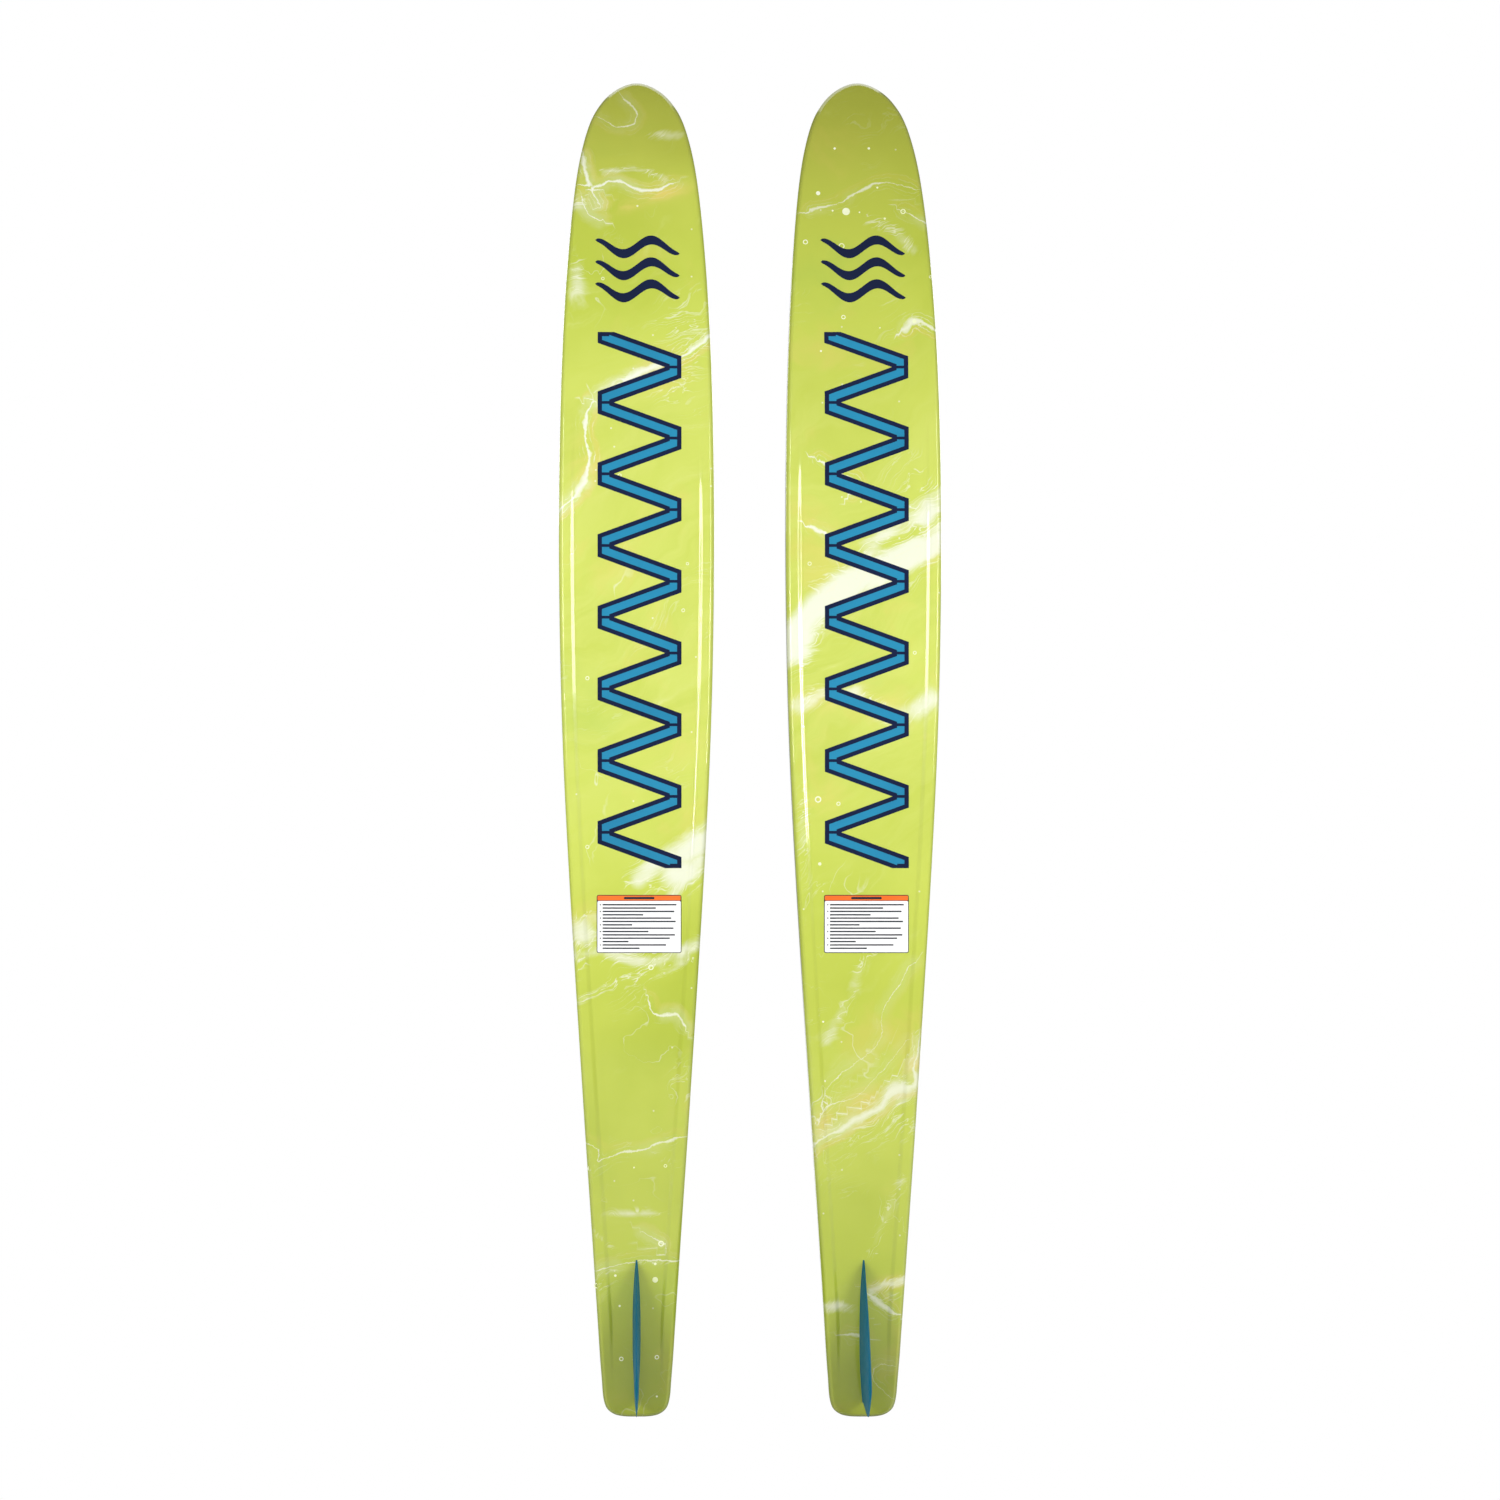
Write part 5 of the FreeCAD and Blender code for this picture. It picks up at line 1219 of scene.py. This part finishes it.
def strap(hand, prefix, node, half, wall, high_back, high_front, z0, z1, flange_half, flange_thick, lean, ribs):
    y0, rows, flat, arch = PLATE, 96, 9, 150

    def height(z):
        f = np.clip((z - z0) / (z1 - z0), 0, 1)
        return high_back + (high_front - high_back) * (f * 0.75 + 0.25 * f * f)

    turn = np.linspace(0, math.pi, arch)
    # cosine and sine of even steps of angle from one foot round to the other
    c, s = np.cos(turn), np.sin(turn)
    v = np.linspace(0, 1, rows)
    far = y0 + high_back + 40

    def mouth(y):
        share = np.clip((y - (y0 + flange_thick + 3)) / (far - (y0 + flange_thick + 3)), 0, 1)
        return z0 - 0.2 + (lean + 0.6) * share, z1 + 0.2 - (lean * 1.5 + 0.6) * share

    def arc(offset):
        grid = np.zeros((rows, arch, 3))
        grid[:, :, 0] = ((half + offset) * np.abs(c) ** 0.78 * np.sign(c))[None, :]
        z = np.repeat((z0 + (z1 - z0) * v)[:, None], arch, 1)
        for _ in range(8):
            y = y0 + (height(z) + offset) * np.abs(s)[None, :] ** 0.8
            lo, hi = mouth(y)
            z = lo + (hi - lo) * v[:, None]
        grid[:, :, 1], grid[:, :, 2] = y, z
        return grid

    outer, inner = arc(wall), arc(0.0)
    inner[:, :, 1] = np.minimum(inner[:, :, 1], outer[:, :, 1] - 0.2)
    out_way = grid_normals(outer)
    if out_way[rows // 2, arch // 2, 1] < 0:
        out_way = -out_way
    # moulded relief: cross ribs over the instep, sunk side panels, a raised band along both mouths
    deg = np.degrees(turn)[None, :]
    along = np.repeat(v[:, None], arch, 1)
    crown = ease(np.abs(deg - 90), 66, 34)
    pattern = np.clip(np.cos((along - 0.5) * ribs * 2 * math.pi), -0.2, 1)
    relief = 0.85 * crown * pattern * ease(np.abs(along - 0.5), 0.40, 0.30)
    side = ease(np.abs(np.abs(deg - 90) - 62), 22, 14) * ease(np.abs(along - 0.5), 0.40, 0.33)
    slots = ease(np.cos(along * 2 * math.pi * 7 + (np.abs(deg - 90) - 62) * 0.10), 0.2, 0.75)
    relief = relief - 0.9 * side * slots
    edge = ease(np.minimum(along, 1 - along), 0.075, 0.035)
    relief = relief + 0.5 * edge
    foot_fade = ease(np.minimum(deg, 180 - deg), 2, 12)
    outer = outer + out_way * (relief * foot_fade)[:, :, None]
    # flanges
    z_foot = outer[:, 0, 2]
    parts_out, parts_in = [], []
    for sign in (1, -1):
        xs = np.linspace(flange_half - 0.15, half + wall + 0.9, flat)
        o = np.zeros((rows, flat, 3))
        i = np.zeros((rows, flat, 3))
        for k, x in enumerate(xs):
            near = np.clip((x - (half + wall)) / 3.0, 0, 1)
            o[:, k, 0] = sign * x
            o[:, k, 1] = y0 + flange_thick - 0.1 + 1.6 * (1 - near) ** 2
            i[:, k, 0] = sign * x
            i[:, k, 1] = y0 + 0.12
            o[:, k, 2] = i[:, k, 2] = z_foot
        parts_out.append(o)
        parts_in.append(i)
    keep_from = int(np.argmax(outer[rows // 2, :, 1] > y0 + flange_thick + 2.2))
    body_out = outer[:, keep_from:arch - keep_from]
    body_in = inner[:, keep_from:arch - keep_from].copy()
    outer_all = np.concatenate([parts_out[0], body_out, parts_out[1][:, ::-1]], axis=1)
    inner_all = np.concatenate([parts_in[0], body_in, parts_in[1][:, ::-1]], axis=1)
    # the inside comes straight down to the plate at both feet
    for k, col in ((flat, 1), (outer_all.shape[1] - flat - 1, -1)):
        inner_all[:, k, 0] = np.sign(outer_all[0, k, 0]) * (half + 0.2)
        inner_all[:, k, 1] = y0 + 0.12
    shell = walled(prefix + "_upper", outer_all, inner_all, hand, "ski", MAT["rubber"], sharp=60)
    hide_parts(node)
    # edge tape, lining lips and two rows of stitches
    mid = (outer + inner) / 2
    for tag, row, way in (("back", 0, -1), ("front", rows - 1, 1)):
        path = mid[row, keep_from:arch - keep_from] + np.array([0, 0, 0.5 * way])
        pipe(prefix + "_tape_" + tag, path[::2], wall * 0.5 + 0.75, hand, "ski", MAT["binding_tape"], sides=12, squash=1.0)
        for tier, inset in enumerate((0.060, 0.105)):
            r = int(round((inset if row == 0 else 1 - inset) * (rows - 1)))
            stitches(prefix + "_stitch_%s_%d" % (tag, tier), outer[r, keep_from + 2:arch - keep_from - 2],
                     out_way[r, keep_from + 2:arch - keep_from - 2], hand, "ski", MAT["thread"])
    # lining: a thin cloth layer just inside
    cols = slice(keep_from + 1, arch - keep_from - 1)
    normals = grid_normals(inner)
    if normals[rows // 2, arch // 2, 1] < 0:
        normals = -normals
    a, b = inner[2:-2, cols] - normals[2:-2, cols] * 0.15, inner[2:-2, cols] - normals[2:-2, cols] * 1.0
    cloth = walled(prefix + "_lining", a[::2, ::2], b[::2, ::2], hand, "ski", MAT["lining"])
    return shell, cloth


strap("right", "right_toe", "right_toe_overlay", 46, 4.5, 80, 50, 792, 912, 58, 3.5, 16, 8)
strap("left", "left_toe", "left_toe_overlay", 46, 4.5, 80, 50, 792, 912, 58, 3.5, 16, 8)
strap("left", "left_rear", "left_rear_overlay", 41, 4.0, 66, 48, 388, 492, 52, 3.5, 12, 7)


# ------------------------------------------------------------------ heel pieces

def plan_path(half, back_out, front, count_side=26, count_arc=44):
    """The U of a heel piece seen from above, from its right front round the heel to its left front."""
    z0 = back_out + half
    pts = [(half, z) for z in np.linspace(front, z0, count_side)[:-1]]
    pts += [(half * math.cos(a), z0 - half * math.sin(a)) for a in np.linspace(0, math.pi, count_arc)]
    pts += [(-half, z) for z in np.linspace(z0, front, count_side)[1:]]
    return np.array(pts)


def heel_piece(hand):
    half, wall, back, front, low = 33.0, 4.5, 627.0, 735.0, SEAT
    rim_z = np.array([back - 9, back + 6, back + 26, back + 52, back + 82, front + 2], float)
    rim_y = np.array([low + 88, low + 92, low + 80, low + 56, low + 37, low + 30], float)
    rim_of = clamped_spline(rim_z, rim_y, 0.5, -0.1)
    inner_plan, outer_plan = plan_path(half, back + wall, front), plan_path(half + wall, back, front)
    flange_plan = plan_path(half + wall + 6.85, back - 6.85, front)
    count = len(inner_plan)
    arc_marks = np.concatenate([[0], np.cumsum(np.hypot(*np.diff(outer_plan, axis=0).T))])
    pos = arc_marks / arc_marks[-1]
    rim = rim_of((outer_plan[:, 1] + inner_plan[:, 1]) / 2)[0]
    rows = 64
    t = np.linspace(0, 1, rows)
    outer, inner = np.zeros((rows, count, 3)), np.zeros((rows, count, 3))
    foot = low + 3.5
    for k in range(count):
        y = foot + 1.4 + (rim[k] - 0.9 - foot - 1.4) * t
        outer[:, k, 1] = inner[:, k, 1] = y
        bulge = 1.1 * np.sin(math.pi * np.clip(t, 0, 1)) ** 1.3
        way = outer_plan[k] - inner_plan[k]
        way = way / np.hypot(*way)
        heel = math.exp(-((pos[k] - 0.5) / 0.16) ** 2)
        # the back draws in above the heel bone
        waist = -1.6 * heel * np.exp(-((t - 0.72) / 0.16) ** 2)
        x = outer_plan[k, 0] + way[0] * (bulge + waist)
        z = outer_plan[k, 1] + way[1] * (bulge + waist)
        outer[:, k, 0], outer[:, k, 2] = x, z
        inner[:, k, 0] = inner_plan[k, 0] + way[0] * np.minimum(0, waist)
        inner[:, k, 2] = inner_plan[k, 1] + way[1] * np.minimum(0, waist)
    # relief: flex grooves at the back of the ankle, sunk panels at the sides, raised rim
    out = grid_normals(outer)
    probe = outer[rows // 2, count // 2]
    if out[rows // 2, count // 2, 2] > 0:
        out = -out
    tt = np.repeat(t[:, None], count, 1)
    uu = np.repeat(pos[None, :], rows, 0)
    tall = outer[:, :, 1] - low
    heel = ease(np.abs(uu - 0.5), 0.17, 0.11)
    relief = -0.85 * heel * ease(np.cos(tall / 6.4 * 2 * math.pi), 0.1, 0.8) * ease(np.abs(tt - 0.66), 0.24, 0.18)
    panel = ease(np.abs(np.abs(uu - 0.5) - 0.33), 0.12, 0.09) * ease(np.abs(tt - 0.47), 0.36, 0.27)
    bars = ease(np.cos((uu * 300 + tall * 0.55) / 9.5 * 2 * math.pi), -0.1, 0.6)
    relief += -0.8 * panel * bars
    relief += 0.55 * ease(tt, 0.90, 0.95)
    relief += 0.7 * ease(tt, 0.12, 0.02)
    outer = outer + out * relief[:, :, None]
    # flange below, under the clamp rail
    flat = 7
    fo, fi = np.zeros((flat, count, 3)), np.zeros((flat, count, 3))
    for r in range(flat):
        f = r / (flat - 1)
        plan = flange_plan + (outer_plan - flange_plan) * f * 0.93
        fo[r, :, 0], fo[r, :, 2] = plan[:, 0], plan[:, 1]
        fo[r, :, 1] = foot - 0.1 + 0.9 * max(0.0, f - 0.7) / 0.3
        fi[r, :, 0], fi[r, :, 2] = plan[:, 0], plan[:, 1]
        fi[r, :, 1] = low + 0.12
    drop = inner[:1].copy()
    drop[:, :, 1] = low + 0.12
    outer_all = np.concatenate([fo, outer])
    inner_all = np.concatenate([fi[:-1], drop, drop[:1] + np.array([0, 0.6, 0]), inner[1:]])
    shell = walled(hand + "_heel_upper", outer_all, inner_all, hand, "heel", MAT["rubber"], sharp=60)
    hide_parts(hand + "_heel_cup")
    rim_path = (outer[-1] + inner[-1]) / 2 + np.array([0, 0.3, 0])
    pipe(hand + "_heel_collar", rim_path, 2.95, hand, "heel", MAT["binding_tape"], sides=12)
    for tier, tt_at in enumerate((0.93, 0.875)):
        r = int(tt_at * (rows - 1))
        stitches(hand + "_heel_stitch_%d" % tier, outer[r, 2:-2], out[r, 2:-2], hand, "heel", MAT["thread"])
    normals = grid_normals(inner)
    if normals[rows // 2, count // 2, 2] > 0:
        normals = -normals
    a, b = inner[8:-2] - normals[8:-2] * 0.15, inner[8:-2] - normals[8:-2] * 1.1
    walled(hand + "_heel_lining", a[::2], b[::2], hand, "heel", MAT["lining"])
    return shell


def pull_tab(hand):
    """A folded loop of webbing sewn to the back of the heel piece."""
    wide, thick = 9.6, 1.15
    z_back, z_front, low, high = 624.6, 627.4, SEAT + 66.5, SEAT + 115.0
    r = (z_front - z_back) / 2
    path = [(y, z_front + 0.1 * math.sin(y / 7)) for y in np.linspace(low + 21, high - r, 26)]
    path += [(high - r + r * 1.35 * math.sin(a), z_back + r + r * math.cos(a)) for a in np.linspace(0.2, math.pi - 0.2, 9)]
    path += [(y, z_back) for y in np.linspace(high - r, low, 40)]
    path = np.array(path)
    ways = np.gradient(path, axis=0)
    ways /= np.linalg.norm(ways, axis=1)[:, None]
    side = np.stack([-ways[:, 1], ways[:, 0]], 1)
    across = np.linspace(-1, 1, 17)
    outer, inner = np.zeros((len(path), 17, 3)), np.zeros((len(path), 17, 3))
    for j, u in enumerate(across):
        edge = 1 - 0.45 * max(0.0, abs(u) - 0.86) / 0.14
        for grid, sign in ((outer, 1), (inner, -1)):
            grid[:, j, 0] = wide * u
            grid[:, j, 1] = path[:, 0] + side[:, 0] * sign * thick / 2 * edge
            grid[:, j, 2] = path[:, 1] + side[:, 1] * sign * thick / 2 * edge
    loop = walled(hand + "_pull_loop", outer, inner, hand, "heel", MAT["webbing"])
    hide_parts(hand + "_heel_pull_tab")
    z = z_back - thick / 2
    box_path = [(-7.2, low + 2), (7.2, low + 2), (7.2, low + 15), (-7.2, low + 15), (-7.2, low + 2)]
    cross = [[(-7.2, low + 2), (7.2, low + 15)], [(7.2, low + 2), (-7.2, low + 15)]]
    for n_, line in enumerate([box_path] + cross):
        pts = []
        for a, b in zip(line, line[1:]):
            for f in np.linspace(0, 1, 8):
                pts.append((a[0] + (b[0] - a[0]) * f, a[1] + (b[1] - a[1]) * f, z))
        pts = [q for i, q in enumerate(pts) if i == 0 or np.hypot(q[0] - pts[i - 1][0], q[1] - pts[i - 1][1]) > 0.01]
        stitches(hand + "_pull_stitch_%d" % n_, pts, [(0, 0, -1)] * len(pts), hand, "heel", MAT["binding_tape"],
                 pitch=2.6, length=1.8, radius=0.32, lift=0.05)
    return loop


for hand in ("right", "left"):
    heel_piece(hand)
    pull_tab(hand)


# ------------------------------------------------------------------ foam pads

def foam_pad(name, node, hand, body, z0, z1, low, high, half_of, relief, across=84, rows=110, radius=1.6):
    """A foam pad with rounded upper edges and a moulded top; half_of gives its half width along z."""
    zs = z0 + (z1 - z0) * (1 - np.cos(np.linspace(0, math.pi, rows))) / 2 * 0.35 + (z1 - z0) * np.linspace(0, 1, rows) * 0.65
    us = np.sign(np.linspace(-1, 1, across)) * (1 - (1 - np.abs(np.linspace(-1, 1, across))) ** 1.25)
    top, low_grid = np.zeros((rows, across, 3)), np.zeros((rows, across, 3))
    for i, z in enumerate(zs):
        half = half_of(z)
        x = us * half
        edge = np.minimum(half - np.abs(x), min(z - z0, z1 - z))
        edge = np.clip(edge, 0, radius)
        drop = radius - np.sqrt(np.clip(radius ** 2 - (radius - edge) ** 2, 0, None))
        calm = ease(np.minimum(half - np.abs(x), min(z - z0, z1 - z)), radius, radius + 2.5)
        top[i, :, 0], top[i, :, 2] = x, z
        top[i, :, 1] = high - drop - relief(x, z) * calm
        low_grid[i, :, 0], low_grid[i, :, 2] = x, z
        low_grid[i, :, 1] = low
    verts = list(top.reshape(-1, 3)) + list(low_grid.reshape(-1, 3))
    faces = grid_faces(rows, across) + grid_faces(rows, across, rows * across, flip=True)
    loop = [(0, j) for j in range(across)] + [(i, across - 1) for i in range(1, rows)] + [(rows - 1, j) for j in range(across - 2, -1, -1)] + [(i, 0) for i in range(rows - 2, 0, -1)]
    for k in range(len(loop)):
        a = loop[k][0] * across + loop[k][1]
        b = loop[(k + 1) % len(loop)][0] * across + loop[(k + 1) % len(loop)][1]
        faces.append((a, rows * across + a, rows * across + b, b))
    obj = new_mesh(name, at(hand, verts), faces, hand + "_" + body, MAT["foam"])
    tidy(obj, 1e-7)
    obj.data.shade_smooth()
    sharpen(obj.data, 40)
    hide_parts(node)
    return obj


def diamond_grooves(pitch, depth):
    def relief(x, z):
        a = np.abs(np.sin((x + z) * math.pi / pitch))
        b = np.abs(np.sin((x - z) * math.pi / pitch))
        return depth * np.maximum(ease(a, 0.24, 0.06), ease(b, 0.24, 0.06))
    return relief


def wave_grooves(pitch, depth):
    def relief(x, z):
        s = np.abs(np.sin((z + 3.0 * np.sin(x / 7.0)) * math.pi / pitch))
        return depth * ease(s, 0.34, 0.10)
    return relief


def bed_half(z):
    if z <= 918:
        return 45.4
    return 45.4 - 20 + math.sqrt(max(0.0, 400 - (z - 918) ** 2))


def rear_half(z):
    edge = min(z - 356, 504 - z)
    return 40.4 if edge >= 12 else 40.4 - 12 + math.sqrt(max(0.0, 144 - (12 - edge) ** 2))


def heel_half(z):
    start, half = 632.1, 32.4
    if z >= start + half:
        return half
    return max(3.0, math.sqrt(max(0.0, half ** 2 - (start + half - z) ** 2)))


for hand in ("right", "left"):
    foam_pad(hand + "_foot_bed", hand + "_front_footbed", hand, "ski", 766.1, 937.9, PLATE + 0.05, PLATE + 6, bed_half,
             diamond_grooves(13.0, 0.95), across=96, rows=150)
    foam_pad(hand + "_heel_bed", hand + "_heel_pad", hand, "heel", 632.3, 734.9, SEAT + 0.05, SEAT + 5, heel_half,
             wave_grooves(8.0, 0.9), across=72, rows=110)
foam_pad("left_rear_bed", "left_rear_pad", "left", "ski", 356.1, 503.9, PLATE + 0.05, PLATE + 5, rear_half,
         diamond_grooves(12.0, 0.9), across=84, rows=130)


# ------------------------------------------------------------------ materials of the hard parts

HARD = {"binding_plate": "black", "rear_plate": "black", "heel_carriage": "dark", "toe_clamp_inner": "anodised",
        "toe_clamp_outer": "anodised", "heel_clamp": "anodised", "rear_clamps": "anodised", "lock_lever": "lever",
        "lock_pin": "steel", "plate_screws": "steel", "plate_washers": "steel", "toe_clamp_screws": "steel",
        "heel_clamp_screws": "steel", "rear_clamp_screws": "steel", "rear_plate_screws": "steel", "fin_screws": "steel",
        "fin_screw_washers": "steel", "binding_inserts": "brass", "rear_inserts": "brass", "ski_core": "core",
        "grip_strip": "grip"}
for key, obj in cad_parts.items():
    kind = key.split("_", 1)[1]
    if kind in HARD:
        set_material(obj, MAT[HARD[kind]])

# ------------------------------------------------------------------ floor and finish

floor_mesh = bpy.data.meshes.new("floor")
floor_mesh.from_pydata([(-30, -30, -0.0005), (30, -30, -0.0005), (30, 30, -0.0005), (-30, 30, -0.0005)], [], [(0, 1, 2, 3)])
floor = bpy.data.objects.new("floor", floor_mesh)
scene.collection.objects.link(floor)
t = Tree("pale_floor")
t.finish(t.mix(t.math("MULTIPLY", t.noise(t.place(), 2, 2), 0.1), lin(244, 244, 244), lin(240, 240, 240)), 0.85)
glow = t.node("ShaderNodeEmission")
glow.inputs[0].default_value = (1, 1, 1, 1)
glow.inputs[1].default_value = 1.0
t.tree.links.new(white_for_camera(t.tree, t.bsdf, glow).outputs[0], t.out.inputs[0])
set_material(floor, t.material)
